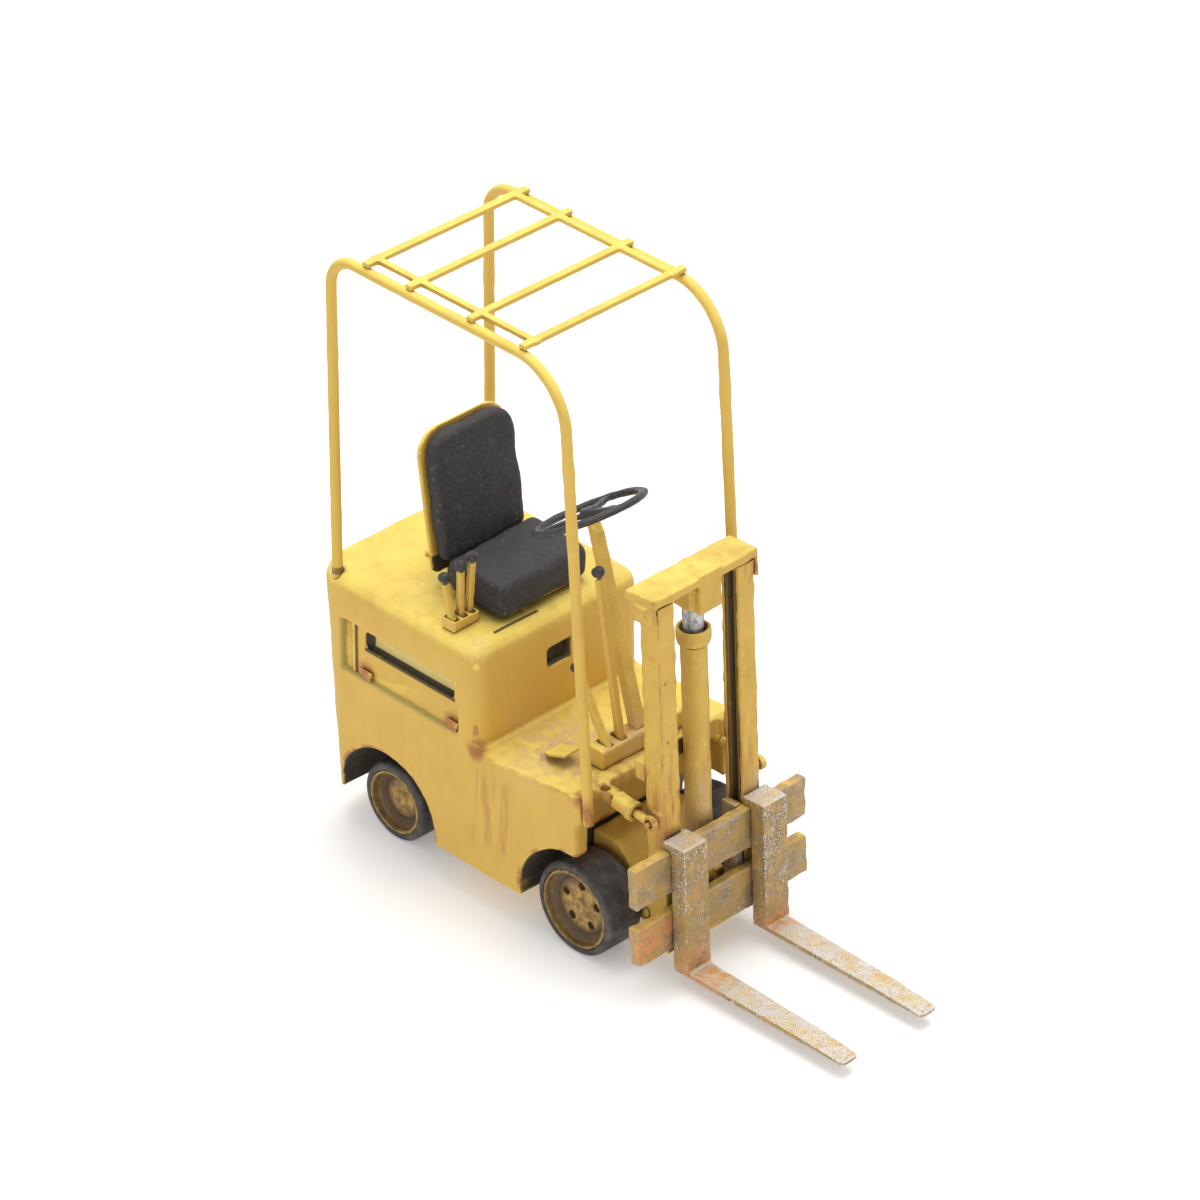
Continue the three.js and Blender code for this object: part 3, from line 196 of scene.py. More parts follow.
LEMON_HIGHLIGHT_AND_RUB = (0.95, 0.73, 0.15, 1)
SIDE_YELLOW = (0.65, 0.41, 0.070, 1)
MUSTARD = (0.52, 0.315, 0.055, 1)
OLIVE_LEDGE_SHADE = (0.34, 0.265, 0.075, 1)
UMBER = (0.10, 0.058, 0.020, 1)
RUST = (0.34, 0.085, 0.030, 1)
SALMON = (0.60, 0.26, 0.11, 1)
TAN = (0.66, 0.43, 0.16, 1)
NEAR_BLACK = (0.012, 0.011, 0.011, 1)
SILVER = (0.62, 0.61, 0.62, 1)
CREAM_SHEEN = (0.9, 0.86, 0.7, 1)
SLOT_FLOOR = (0.72, 0.57, 0.20, 1)
HAND_SLOT_SHADE = (0.045, 0.032, 0.018, 1)


def yellow_paint(name, spots=(), chips=(), flecks=(), streaks=(), corner_shade=1.0, dull=0.0, rub=0.5, marks=(),
                 top=1.0):
    """Matt ochre, with a lemon painted highlight on whatever faces up, rubbed lemon on the edges and
    umber painted shade in the corners.
    Rusty spots and edge chips are (centre, reach) in mm; flecks are (centre, reach, colour, share);
    streaks are (low corner, high corner, amount) of rust run down; marks are (low corner, high
    corner, colour, amount) of colour laid in a box: dirt, dark lines, and painted shade in hollows."""
    material, tree, shader, place = blank(name)
    broad = cloud(tree, place, 2.6, 2.0)
    strokes = cloud(tree, place, 0.55, 4.0, stretch=(1.0, 0.6, 0.35))
    grit = cloud(tree, place, 0.13, 3.0)
    facing = put(tree, "ShaderNodeTexCoord").outputs["Normal"]
    up = put(tree, "ShaderNodeSeparateXYZ", {0: facing}).outputs[2]
    # Faces that look up get lemon over the ochre: a painted highlight, as if lit from above.
    colour = over(tree, SIDE_YELLOW, LEMON_HIGHLIGHT_AND_RUB, times(tree, ramp(tree, up, 0.2, 0.8), top))
    colour = over(tree, colour, MUSTARD, times(tree, ramp(tree, broad, 0.42, 0.72), 0.30 + dull))
    colour = over(tree, colour, MUSTARD, times(tree, ramp(tree, strokes, 0.50, 0.78), 0.30 + dull))
    # Umber painted shade where the surface lies in a corner or hollow, broken up by the strokes.
    hollow = put(tree, "ShaderNodeAmbientOcclusion", {"Distance": 0.8 * MM}, samples=8).outputs["AO"]
    shade = times(tree, ramp(tree, hollow, 0.76, 0.22), ramp(tree, strokes, 0.10, 0.45))
    colour = over(tree, colour, UMBER, times(tree, shade, 0.85 * corner_shade))
    edge = put(tree, "ShaderNodeNewGeometry").outputs["Pointiness"]
    ridge = ramp(tree, edge, 0.52, 0.57)
    rubbed = times(tree, ridge, ramp(tree, strokes, 0.35, 0.60))
    colour = over(tree, colour, LEMON_HIGHLIGHT_AND_RUB, times(tree, rubbed, rub))
    for low, high, tint, amount in marks:
        ragged = times(tree, inside(tree, place, low, high), ramp(tree, strokes, 0.22, 0.34))
        colour = over(tree, colour, tint, times(tree, ragged, amount))
    for low, high, amount in streaks:
        run = cloud(tree, place, 0.45, 3.0, stretch=(1.0, 1.0, 0.10), shift=0.01)
        run = times(tree, ramp(tree, run, 0.47, 0.62), inside(tree, place, low, high, 0.7))
        colour = over(tree, colour, RUST, times(tree, run, amount))
    for centre, reach in spots:
        patch = times(tree, near(tree, place, centre, reach * 0.45, reach), ramp(tree, strokes, 0.38, 0.50))
        colour = over(tree, colour, RUST, times(tree, patch, 0.80))
    for centre, reach in chips:
        torn = times(tree, near(tree, place, centre, reach * 0.7, reach), ramp(tree, strokes, 0.38, 0.48))
        colour = over(tree, colour, RUST, times(tree, times(tree, torn, ridge), 0.75))
    speck = cloud(tree, place, 0.060, 2.0, shift=0.3) if flecks else None
    shine = None
    for centre, reach, tint, share in flecks:
        clump = times(tree, near(tree, place, centre, reach * 0.4, reach), ramp(tree, strokes, 0.36, 0.56))
        if tint == SILVER:
            colour = over(tree, colour, TAN, times(tree, clump, 0.75))
        fleck = times(tree, clump, ramp(tree, speck, 0.64 - share, 0.70 - share))
        colour = over(tree, colour, tint, times(tree, fleck, 0.85))
        shine = times(tree, fleck, 0.4) if tint == SILVER else shine
    if shine:
        tree.links.new(shine, shader.inputs["Metallic"])
    tree.links.new(colour, shader.inputs["Base Color"])
    tree.links.new(put(tree, "ShaderNodeMapRange", {
        "Value": strokes, "To Min": 0.52, "To Max": 0.80}).outputs[0], shader.inputs["Roughness"])
    skin = put(tree, "ShaderNodeMath", {0: grit, 1: strokes}, operation="ADD").outputs[0]
    roughen(tree, shader, skin, 0.04)
    return material


def line_at(tree, value, place, half):
    """1 where value lies within half of place."""
    off = put(tree, "ShaderNodeMath", {0: value, 1: place}, operation="SUBTRACT").outputs[0]
    size = put(tree, "ShaderNodeMath", {0: off}, operation="ABSOLUTE").outputs[0]
    return ramp(tree, size, half * 1.5, half * 0.5)


HOOD_FRONT = 5.7 + AXLE_Y
SLOT_LOW, SLOT_HIGH = 9.95, 10.98
SLOT_ENDS = (HOOD_FRONT + 1.6, HOOD_FRONT + 7.35)
PANEL_LOW, PANEL_HIGH = 8.42, 11.05
PANEL_ENDS = (HOOD_FRONT + 1.2, HOOD_FRONT + 8.7)
SIDE_IN = 4.0  # inner end of the boxes that hold dirt in the side recesses
WALL_OUT = 4.95  # outer end of those that lie behind the panel
body_paint = yellow_paint(
    "body_paint", rub=0.6,
    spots=[((-5.05, HOOD_FRONT + 0.1, 8.05), 0.65), ((-4.75, -1.2, 8.4), 0.6), ((-5.1, 13.9, 2.2), 1.0)],
    chips=[((-5.0, 4.9, 8.2), 1.4), ((-4.9, -1.3, 8.2), 2.2), ((-4.9, -1.3, 6.4), 2.0),
           ((-4.9, 1.5, 8.3), 2.2)],
    # The cream flecks on the hood's front corner are a painted sheen.
    flecks=[((-2.2, 1.9, 8.3), 3.4, SILVER, 0.10), ((-4.4, HOOD_FRONT + 0.6, 12.9), 0.9, CREAM_SHEEN, 0.06)],
    streaks=[((-5.3, 3.0, 3.6), (-4.8, 4.6, 6.8), 0.38),
             ((-3.5, -1.6, 7.2), (3.0, 0.6, 8.6), 0.5)],
    marks=[
        ((SIDE_IN, SLOT_ENDS[0] - 0.1, SLOT_LOW + 0.1), (WALL_OUT, SLOT_ENDS[1] + 0.1, SLOT_HIGH + 0.1),
         SLOT_FLOOR, 0.95),
        # Near black along the slot's lower edge and along its rear end.
        ((SIDE_IN, SLOT_ENDS[0] - 0.1, SLOT_LOW - 0.1), (WALL_OUT, SLOT_ENDS[1] + 0.1, SLOT_LOW + 0.1),
         NEAR_BLACK, 0.97),
        ((SIDE_IN, SLOT_ENDS[1] - 0.25, SLOT_LOW), (WALL_OUT, SLOT_ENDS[1] + 0.1, SLOT_HIGH), NEAR_BLACK, 0.95),
        # Olive painted shade along the panel recess's lower ledge and its rear end.
        ((4.6, PANEL_ENDS[0] - 0.1, PANEL_LOW - 0.1), (5.1, PANEL_ENDS[1] + 0.1, PANEL_LOW + 0.12),
         OLIVE_LEDGE_SHADE, 0.75),
        ((4.6, PANEL_ENDS[1] - 0.05, PANEL_LOW), (5.1, PANEL_ENDS[1] + 0.1, PANEL_HIGH), OLIVE_LEDGE_SHADE, 0.75),
        ((-3.3, HOOD_FRONT + 0.70, 12.9), (-0.7, HOOD_FRONT + 0.79, 13.3), NEAR_BLACK, 0.9),
        # Dark painted shade inside the slot in the hood's front.
        ((-0.8, HOOD_FRONT + 0.03, 10.5), (0.65, HOOD_FRONT + 0.7, 11.45), HAND_SLOT_SHADE, 0.95),
    ])
tree = body_paint.node_tree
shader = tree.nodes["Principled BSDF"]
place = put(tree, "ShaderNodeTexCoord").outputs["Object"]
painted = shader.inputs["Base Color"].links[0].from_socket
ARCHES = [  # centre Y and Z, and radius
    (AXLE_Y, FRONT_WHEEL_Z, 3.03),
    (11.6 + AXLE_Y, REAR_WHEEL_Z, 3.13),
]
for y, z, arch in ARCHES:
    away = from_axle(tree, place, y, z)
    lip = times(tree, line_at(tree, away, (arch + 0.06) * MM, 0.09 * MM),
                ramp(tree, cloud(tree, place, 0.8, 3.0), 0.46, 0.58))
    painted = over(tree, painted, RUST, times(tree, lip, 0.7))
    # The inside of each wheel well is coloured near black.
    well = ramp(tree, away, (arch + 0.03) * MM, (arch - 0.03) * MM)
    painted = over(tree, painted, NEAR_BLACK, times(tree, well, 0.96))
tree.links.new(painted, shader.inputs["Base Color"])
piece_from("body", cast("body_casting", 0.115, ease=2, lump=0.04, pitch=1.6), "truck",
           ["body_casting"], body_paint)

# ---------------------------------------------------------------- side panels
# A thin cover let into each side of the hood, with a long slot, a strip at its rear end and two
# lumpy hinge blocks; paint lies thick on it, with heavy painted shade round its edges and dark lines in its
# recesses.


def worn(node, edge=0.03, angle=30, segments=2):
    """Mesh of a fitted part with its sharp edges rubbed round."""
    shell = fitted(node)
    rub = ("BEVEL", {"width": edge, "segments": segments, "profile": 0.5, "limit_method": "ANGLE",
                     "angle_limit": math.radians(angle), "material": -1})
    mesh = settle(shell, node + "_worn", [rub])
    mesh.transform(Matrix.Scale(MM, 4))
    mesh.shade_smooth()
    mesh.set_sharp_from_angle(angle=math.radians(40))
    return mesh


HINGES = [PANEL_ENDS[0] + 0.35, PANEL_ENDS[1] - 1.5]
PANEL_OUT = 5.3
panel_paint = yellow_paint(
    # The panel takes extra umber painted shade in its corners.
    "panel_paint", corner_shade=1.5,
    spots=[((x, y + 0.1, PANEL_LOW + 0.2), 0.75) for y in HINGES for x in (-4.9, 4.9)],
    marks=[((SIDE_IN, y - 0.2, PANEL_LOW + 0.1), (PANEL_OUT, y + 0.35, PANEL_LOW + 0.6), SALMON, 0.35)
           for y in HINGES]
    + [((SIDE_IN, PANEL_ENDS[1] - 0.85, PANEL_LOW), (PANEL_OUT, PANEL_ENDS[1] - 0.75, PANEL_HIGH),
        UMBER, 0.8),
       # Near black along the slot's lower edge.
       ((SIDE_IN, SLOT_ENDS[0], SLOT_LOW - 0.1), (PANEL_OUT, SLOT_ENDS[1], SLOT_LOW + 0.03), NEAR_BLACK, 0.9)])
for side in ("right", "left"):
    node = "side_panel_" + side
    piece_from("hood_panel_" + side, worn(node, 0.02), "truck", [node], panel_paint)

# ---------------------------------------------------------------- overhead guard
# Two hoops of bent wire stand on the hood and on the floor's front edge; small collars sit
# about a third of the way down the posts, and flat strips make the roof.
GUARD_X = 4.70
GUARD_Z = 29.19
WIRE_R = 0.25
REAR_POST_Y = 15.05 + AXLE_Y
FRONT_FOOT = Vector((0, -0.9 + AXLE_Y, 7.25))
KNEE = Vector((0, 0.75 + AXLE_Y, GUARD_Z))
POST_FOOT_Z = 12.66
REAR_BEND = 1.5
FRONT_BEND = 2.7
ARC_PULL = 0.5523  # how far a cubic curve's handles reach to its corner for a quarter circle
COLLAR_Z = 24.4  # a collar on every post
FRONT_COLLAR_Z = 21.6  # and a second one on the front posts
COLLAR_HALF = 0.5
COLLAR_SWELL = 0.16


def bend(start, corner, end, steps=14):
    """Points of a smooth bend that leaves start and reaches end along the two straight runs."""
    a, b = start.lerp(corner, ARC_PULL), end.lerp(corner, ARC_PULL)
    curve = []
    for i in range(steps + 1):
        t = i / steps
        s = 1 - t
        curve.append(s ** 3 * start + 3 * s * s * t * a + 3 * s * t * t * b + t ** 3 * end)
    return curve


def wire(name, points, radii, sides):
    """Mesh of a round wire through the points, in millimetres, closed at both ends."""
    path = bpy.data.curves.new(name, "CURVE")
    path.dimensions = "3D"
    path.bevel_depth = 1.0
    path.bevel_resolution = sides
    path.use_fill_caps = True
    run = path.splines.new("POLY")
    run.points.add(len(points) - 1)
    for knot, point, radius in zip(run.points, points, radii):
        knot.co = (*point, 1)
        knot.radius = radius
    worker = bpy.data.objects.new(name + "_worker", path)
    scene.collection.objects.link(worker)
    mesh = bpy.data.meshes.new_from_object(worker.evaluated_get(bpy.context.evaluated_depsgraph_get()))
    bpy.data.objects.remove(worker)
    shell = bmesh.new()
    shell.from_mesh(mesh)
    bmesh.ops.remove_doubles(shell, verts=shell.verts, dist=0.002)
    bmesh.ops.recalc_face_normals(shell, faces=shell.faces)
    shell.to_mesh(mesh)
    shell.free()
    return mesh


def straight(a, b, steps):
    return [a.lerp(b, i / steps) for i in range(steps + 1)]


guard_paint = yellow_paint(
    "guard_paint", corner_shade=0.9, dull=0.0, rub=0.4,
    # Umber painted shade on the rear posts just above where they meet the hood.
    marks=[((GUARD_X - 0.5, REAR_POST_Y - 0.5, 13.0), (GUARD_X + 0.5, REAR_POST_Y + 0.5, 13.3), UMBER, 0.8)],
    spots=[((x, FRONT_FOOT.y, 7.6), 1.2) for x in (-GUARD_X, GUARD_X)])
for side, x in (("right", -GUARD_X), ("left", GUARD_X)):
    across = Vector((x, 0, 0))
    rear_low = Vector((x, REAR_POST_Y, POST_FOOT_Z))
    rear_top = Vector((x, REAR_POST_Y, GUARD_Z))
    knee = KNEE + across
    foot = FRONT_FOOT + across
    down = (foot - knee).normalized()
    leave = knee + Vector((0, FRONT_BEND, 0))
    land = knee + down * FRONT_BEND
    start = rear_top - Vector((0, 0, REAR_BEND))
    turn = rear_top - Vector((0, REAR_BEND, 0))
    points = (straight(rear_low, start, 30)[:-1] + bend(start, rear_top, turn)
              + straight(turn, leave, 14)[1:-1] + bend(leave, knee, land)
              + straight(land, foot, 30)[1:])
    radii = []
    for i, point in enumerate(points):
        collar = abs(point.z - COLLAR_Z)
        if i > len(points) // 2:
            collar = min(collar, abs(point.z - FRONT_COLLAR_Z))
        radii.append(WIRE_R * (1.0 + COLLAR_SWELL * max(0.0, 1 - collar / COLLAR_HALF)))
    mesh = wire("guard_" + side, points, radii, 5)
    lumpy(mesh, 0.02, 0.9, seed=x)
    mesh.transform(Matrix.Scale(MM, 4))
    mesh.shade_smooth()
    piece_from("guard_wire_" + side, mesh, "truck", ["guard_hoop_" + side], guard_paint)
piece_from("roof_strips", cast("roof_grid", 0.05, ease=1, lump=0.01, pitch=0.6), "truck", ["roof_grid"],
           guard_paint)

# ---------------------------------------------------------------- seat
# A thin yellow shell leans back on the hood with a matt black back pad in it; the cushion is a
# thick black block with a rounded front. All three are castings, hard to the touch.
FLAT_BLACK = (0.020, 0.018, 0.019, 1)
DRY_GREY_AND_HIGHLIGHT = (0.085, 0.080, 0.078, 1)
DUST_GREY = (0.35, 0.35, 0.34, 1)
PAD_BLACK = (0.022, 0.020, 0.020, 1)


def black_paint(name, amount=0.7, rough=(0.6, 0.85)):
    """Matt black with grey dry-brushing caught by the raised grain and the edges, and a grey painted
    highlight on whatever faces up.
    """
    material, tree, shader, place = blank(name)
    grain = cloud(tree, place, 0.30, 4.0)
    fine = cloud(tree, place, 0.09, 3.0)
    edge = put(tree, "ShaderNodeNewGeometry").outputs["Pointiness"]
    facing = put(tree, "ShaderNodeTexCoord").outputs["Normal"]
    up = put(tree, "ShaderNodeSeparateXYZ", {0: facing}).outputs[2]
    caught = times(tree, ramp(tree, grain, 0.42, 0.70), ramp(tree, fine, 0.35, 0.65))
    # Faces that look up turn grey: a painted highlight, as if lit from above.
    colour = over(tree, FLAT_BLACK, DRY_GREY_AND_HIGHLIGHT, times(tree, ramp(tree, up, 0.3, 0.9), 0.45))
    colour = over(tree, colour, DRY_GREY_AND_HIGHLIGHT, times(tree, caught, amount))
    speck = times(tree, ramp(tree, cloud(tree, place, 0.16, 1.0, shift=0.7), 0.74, 0.78), 0.6)
    colour = over(tree, colour, DUST_GREY, speck)
    colour = over(tree, colour, DRY_GREY_AND_HIGHLIGHT, times(tree, ramp(tree, edge, 0.53, 0.60), 0.6))
    tree.links.new(colour, shader.inputs["Base Color"])
    tree.links.new(put(tree, "ShaderNodeMapRange", {
        "Value": grain, "To Min": rough[0], "To Max": rough[1]}).outputs[0], shader.inputs["Roughness"])
    roughen(tree, shader, put(tree, "ShaderNodeMath", {0: grain, 1: fine}, operation="ADD").outputs[0], 0.05)
    return material


def crowned(mesh, rise):
    """Swells a pad's broad faces in the middle, so that its sides draw in between the corners."""
    low = [min(v.co[k] for v in mesh.vertices) for k in range(3)]
    high = [max(v.co[k] for v in mesh.vertices) for k in range(3)]
    centre = [(a + b) / 2 for a, b in zip(low, high)]
    half = [(b - a) / 2 for a, b in zip(low, high)]
    for vertex, normal in zip(mesh.vertices, [n.vector.copy() for n in mesh.vertex_normals]):
        away = [abs(vertex.co[k] - centre[k]) / half[k] for k in range(3)]
        across = max(0.0, 1 - away[0] ** 2)
        flat = max(0.0, 1 - (max(away[1], away[2]) * 0.8) ** 2)
        vertex.co += normal * rise * MM * (across * flat * 1.4 - 0.5)


seat_paint = yellow_paint(
    "seat_paint", corner_shade=0.7, marks=[((0, 8.6, 12.6), (2.6, 10.4, 14.6), PAD_BLACK, 0.95)])
piece_from("seat_back_shell", cast("seat_shell", 0.07, ease=2, lump=0.02), "truck", ["seat_shell"],
           seat_paint)
seat_black = black_paint("seat_black")
back_pad = cast("seat_back_pad", 0.08, ease=6, lump=0.09, pitch=1.3, seed=1.0)
crowned(back_pad, 0.06)
piece_from("seat_back", back_pad, "truck", ["seat_back_pad"], seat_black)
cushion = cast("seat_cushion", 0.08, ease=7, lump=0.12, pitch=1.2, seed=2.0)
crowned(cushion, 0.07)
piece_from("seat_base", cushion, "truck", ["seat_cushion"], seat_black)
piece_from("seat_foot", worn("seat_bracket"), "truck", ["seat_bracket"], seat_paint)

# ---------------------------------------------------------------- dash, column and steering wheel
# A low block across the floor carries the column, a flat tapered post, and the two lever slots;
# the wheel is a flattened black ring on three spokes.
dash_paint = yellow_paint("dash_paint", flecks=[((-1.2, 0.0, 9.2), 2.6, SILVER, 0.05)], dull=0.1)
piece_from("dash", cast("dash_block", 0.07, ease=2, lump=0.02), "truck", ["dash_block"],
           dash_paint)
piece_from("column", cast("steering_column", 0.06, ease=2, lump=0.02), "truck", ["steering_column"],
           dash_paint)
WHEEL_HUB = Vector((0, 3.9 + AXLE_Y, 19.0))
WHEEL_TURN = Matrix.Rotation(math.radians(-31), 4, "X")
RING_R = 2.5
RING_THICK = 0.2
SPOKES = 3
SPOKE_SIZE = (0.40, 2.3, 0.20)
ring = bmesh.new()
bmesh.ops.create_circle(ring, segments=14, radius=RING_THICK)
bmesh.ops.scale(ring, vec=(1.15, 0.85, 1), verts=ring.verts)
bmesh.ops.rotate(ring, matrix=Matrix.Rotation(math.pi / 2, 3, "X"), verts=ring.verts)
bmesh.ops.translate(ring, vec=(RING_R, 0, 0), verts=ring.verts)
bmesh.ops.spin(ring, geom=ring.verts[:] + ring.edges[:], cent=(0, 0, 0), axis=(0, 0, 1),
               angle=2 * math.pi, steps=72, use_merge=True)
bmesh.ops.remove_doubles(ring, verts=ring.verts, dist=0.001)
bmesh.ops.recalc_face_normals(ring, faces=ring.faces)
for i in range(SPOKES):
    spoke = bmesh.ops.create_cube(ring, size=1)["verts"]
    bmesh.ops.scale(ring, vec=SPOKE_SIZE, verts=spoke)
    bmesh.ops.translate(ring, vec=(0, RING_R / 2, 0), verts=spoke)
    bmesh.ops.rotate(ring, matrix=Matrix.Rotation(math.radians(360 / SPOKES * i + 60), 3, "Z"), verts=spoke)
hub = bmesh.ops.create_cone(ring, cap_ends=True, segments=28, radius1=0.5, radius2=0.36, depth=0.44)["verts"]
bmesh.ops.translate(ring, vec=(0, 0, 0.02), verts=hub)
wheel_mesh = settle(ring, "steering_wheel_cast", [
    ("REMESH", {"mode": "VOXEL", "voxel_size": 0.05}), ("SMOOTH", {"factor": 0.5, "iterations": 2})])
lumpy(wheel_mesh, 0.03, 0.5)
wheel_mesh.transform(Matrix.Translation(WHEEL_HUB) @ WHEEL_TURN)
wheel_mesh.transform(Matrix.Scale(MM, 4))
wheel_mesh.shade_smooth()
wheel_black = black_paint("wheel_black", rough=(0.35, 0.6), amount=0.4)
piece_from("steering_ring", wheel_mesh, "steering_wheel", ["steering_wheel"], wheel_black)

# ---------------------------------------------------------------- levers
# Square painted sticks stand in the dash and beside the seat, each with a black bead for its
# knob, a little out of round.
lever_paint = yellow_paint("lever_paint", corner_shade=0.9, dull=0.12, rub=0.2)
for lever in ("lift_lever", "tilt_lever", "brake_lever", "direction_lever", "speed_lever"):
    piece_from(lever + "_stick", cast(lever, 0.05, ease=2, lump=0.02, pitch=0.6), lever, [lever],
               lever_paint)
    bead = cast(lever + "_knob", 0.05, ease=4, lump=0.05, pitch=0.4)
    piece_from(lever + "_bead", bead, lever, [lever + "_knob"], wheel_black)
piece_from("hand_lever_block", cast("hand_lever_bracket", 0.05, ease=1), "truck", ["hand_lever_bracket"],
           lever_paint)
piece_from("floor_pedal", cast("accelerator_pedal", 0.05, ease=1), "pedal", ["accelerator_pedal"],
           lever_paint)

# ---------------------------------------------------------------- drive axle and wheels
# The axle housing is a rounded casting under the floor. The tyres are smooth black rings with
# rounded shoulders on dished discs; the front discs have five dark holes and brown staining.
TREAD_BLACK = (0.045, 0.042, 0.040, 1)
TREAD_DUST = (0.12, 0.108, 0.098, 1)
RIM_YELLOW = (0.55, 0.35, 0.075, 1)
RIM_OCHRE = (0.30, 0.18, 0.05, 1)
RIM_CORNER_SHADE = (0.10, 0.045, 0.015, 1)
RIM_DISH_SHADE = (0.055, 0.036, 0.022, 1)
RIM_STAIN = (0.17, 0.085, 0.040, 1)
# A darker, duller paint with little lemon on top for the parts under the floor: painted shade for their
# place beneath the body.
underside_shade_paint = yellow_paint("underside_shade_paint", corner_shade=1.3, dull=0.45, rub=0.1, top=0.25)
piece_from("drive_axle", cast("drive_axle_housing", 0.09, ease=3, lump=0.05), "truck",
           ["drive_axle_housing"], underside_shade_paint)


def tyre_rubber():
    """Matt black, with a little dust in blotches."""
    material, tree, shader, place = blank("tyre_rubber")
    dust = cloud(tree, place, 0.7, 4.0)
    fine = cloud(tree, place, 0.10, 3.0)
    colour = over(tree, TREAD_BLACK, TREAD_DUST, ramp(tree, dust, 0.42, 0.72))
    tree.links.new(colour, shader.inputs["Base Color"])
    tree.links.new(put(tree, "ShaderNodeMapRange", {
        "Value": fine, "To Min": 0.6, "To Max": 0.9}).outputs[0], shader.inputs["Roughness"])
    roughen(tree, shader, fine, 0.02, 0.4)
    return material


def rim_paint(name, centres, radius):
    """Yellow lip and hub, with painted shade as a dark ring in the dish between them and in the corners, and
    brown stains in blotches.
    """
    material, tree, shader, place = blank(name)
    away = from_axle(tree, place, *centres)
    strokes = cloud(tree, place, 0.4, 4.0)
    grit = cloud(tree, place, 0.12, 3.0)
    colour = over(tree, RIM_YELLOW, RIM_OCHRE, ramp(tree, strokes, 0.3, 0.6))
    # Dark painted shade where the disc lies in a corner.
    hollow = put(tree, "ShaderNodeAmbientOcclusion", {"Distance": 0.6 * MM}, samples=8).outputs["AO"]
    colour = over(tree, colour, RIM_CORNER_SHADE, times(tree, ramp(tree, hollow, 0.85, 0.35), 0.9))
    # A dark ring of painted shade in the dish inside the lip.
    dish = line_at(tree, away, (radius - 0.50) * MM, 0.33 * MM)
    colour = over(tree, colour, RIM_DISH_SHADE, times(tree, dish, 0.85))
    stain = times(tree, ramp(tree, strokes, 0.46, 0.64), 0.7)
    colour = over(tree, colour, RIM_STAIN, stain)
    tree.links.new(colour, shader.inputs["Base Color"])
    shader.inputs["Roughness"].default_value = 0.62
    skin = put(tree, "ShaderNodeMath", {0: grit, 1: strokes}, operation="ADD").outputs[0]
    roughen(tree, shader, skin, 0.03)
    return material


def tyre_mesh(name, outer, inner, x0, x1, y, z):
    """A tyre turned about its axle, with a flat tread, rounded shoulders and flat sides."""
    shoulder = 0.62 * (outer - inner)
    steps = 6
    profile = [(x0, inner), (x0, outer - shoulder)]
    for i in range(1, steps + 1):
        a = math.pi / 2 * i / steps
        profile.append((x0 + shoulder * (1 - math.cos(a)), outer - shoulder * (1 - math.sin(a))))
    profile += [(x0 + x1 - px, pr) for px, pr in reversed(profile)]
    lathe = bmesh.new()
    ring = [lathe.verts.new((px, y + pr, z)) for px, pr in profile]
    for a, b in zip(ring, ring[1:] + ring[:1]):
        lathe.edges.new((a, b))
    bmesh.ops.spin(lathe, geom=lathe.verts[:] + lathe.edges[:], cent=(0, y, z), axis=(1, 0, 0),
                   angle=2 * math.pi, steps=72, use_merge=True)
    bmesh.ops.remove_doubles(lathe, verts=lathe.verts, dist=0.001)
    bmesh.ops.recalc_face_normals(lathe, faces=lathe.faces)
    mesh = bpy.data.meshes.new(name)
    lathe.to_mesh(mesh)
    lathe.free()
    lumpy(mesh, 0.015, 0.7)
    mesh.transform(Matrix.Scale(MM, 4))
    mesh.shade_smooth()
    mesh.set_sharp_from_angle(angle=math.radians(40))
    return mesh


rubber = tyre_rubber()
WHEELS = {
    # outer radius, inner radius, inner and outer face from the centre plane, axle Y and Z
    "front": (2.275, 1.95, 2.73, 4.73, AXLE_Y, FRONT_WHEEL_Z),
    "rear": (1.945, 1.60, 3.15, 4.40, REAR_WHEEL_Y, REAR_WHEEL_Z),
}
for end, (outer, inner, x0, x1, y, z) in WHEELS.items():
    disc_paint = rim_paint(end + "_rim_paint", (y, z), inner)
    for side, sign in (("right", -1), ("left", 1)):
        span = (x0, x1) if sign > 0 else (-x1, -x0)
        name = end + "_tyre_" + side
        piece_from(name + "_ring", tyre_mesh(name + "_turned", outer, inner, *span, y, z),
                   end + "_wheel_" + side, [name], rubber)
        disc = end + "_rim_" + side
        piece_from(disc + "_disc", cast(disc, 0.05, ease=2, lump=0.02, pitch=0.5), end + "_wheel_" + side,
                   [disc], disc_paint)

# ---------------------------------------------------------------- mast
# Outer channels and crosshead are painted with the body, a little uneven, and the inner rails are darker
# with painted shade;
# the lift cylinder between them has a thick gland collar and a silvered rod.
RAIL_SHADE_BROWN = (0.085, 0.052, 0.020, 1)
mast_paint = yellow_paint(
    "mast_paint", corner_shade=1.2, dull=0.32, rub=0.3,
    chips=[((-3.2, -3.6, 18.3), 1.2), ((3.2, -3.6, 18.3), 1.4)]
    + [((-2.9, -5.0 + 0.0524 * (z - 2.3), z), 2.4) for z in (5.5, 9.0, 12.5, 16.0)],
    spots=[((3.1, -3.9, 18.1), 0.9), ((-3.4, -1.4, 7.9), 0.7)],
    streaks=[((-2.95, -5.6, 4.0), (-1.9, -3.8, 10.0), 0.35), ((2.0, -5.6, 6.5), (3.0, -3.6, 11.0), 0.4),
             ((-0.7, -5.3, 5.0), (0.7, -3.6, 11.0), 0.3)],
    flecks=[((0.0, -4.4, 7.0), 2.6, SILVER, 0.08), ((3.2, -4.4, 7.0), 1.6, SILVER, 0.08),
            ((0.4, -3.6, 19.0), 2.4, SALMON, 0.03)])
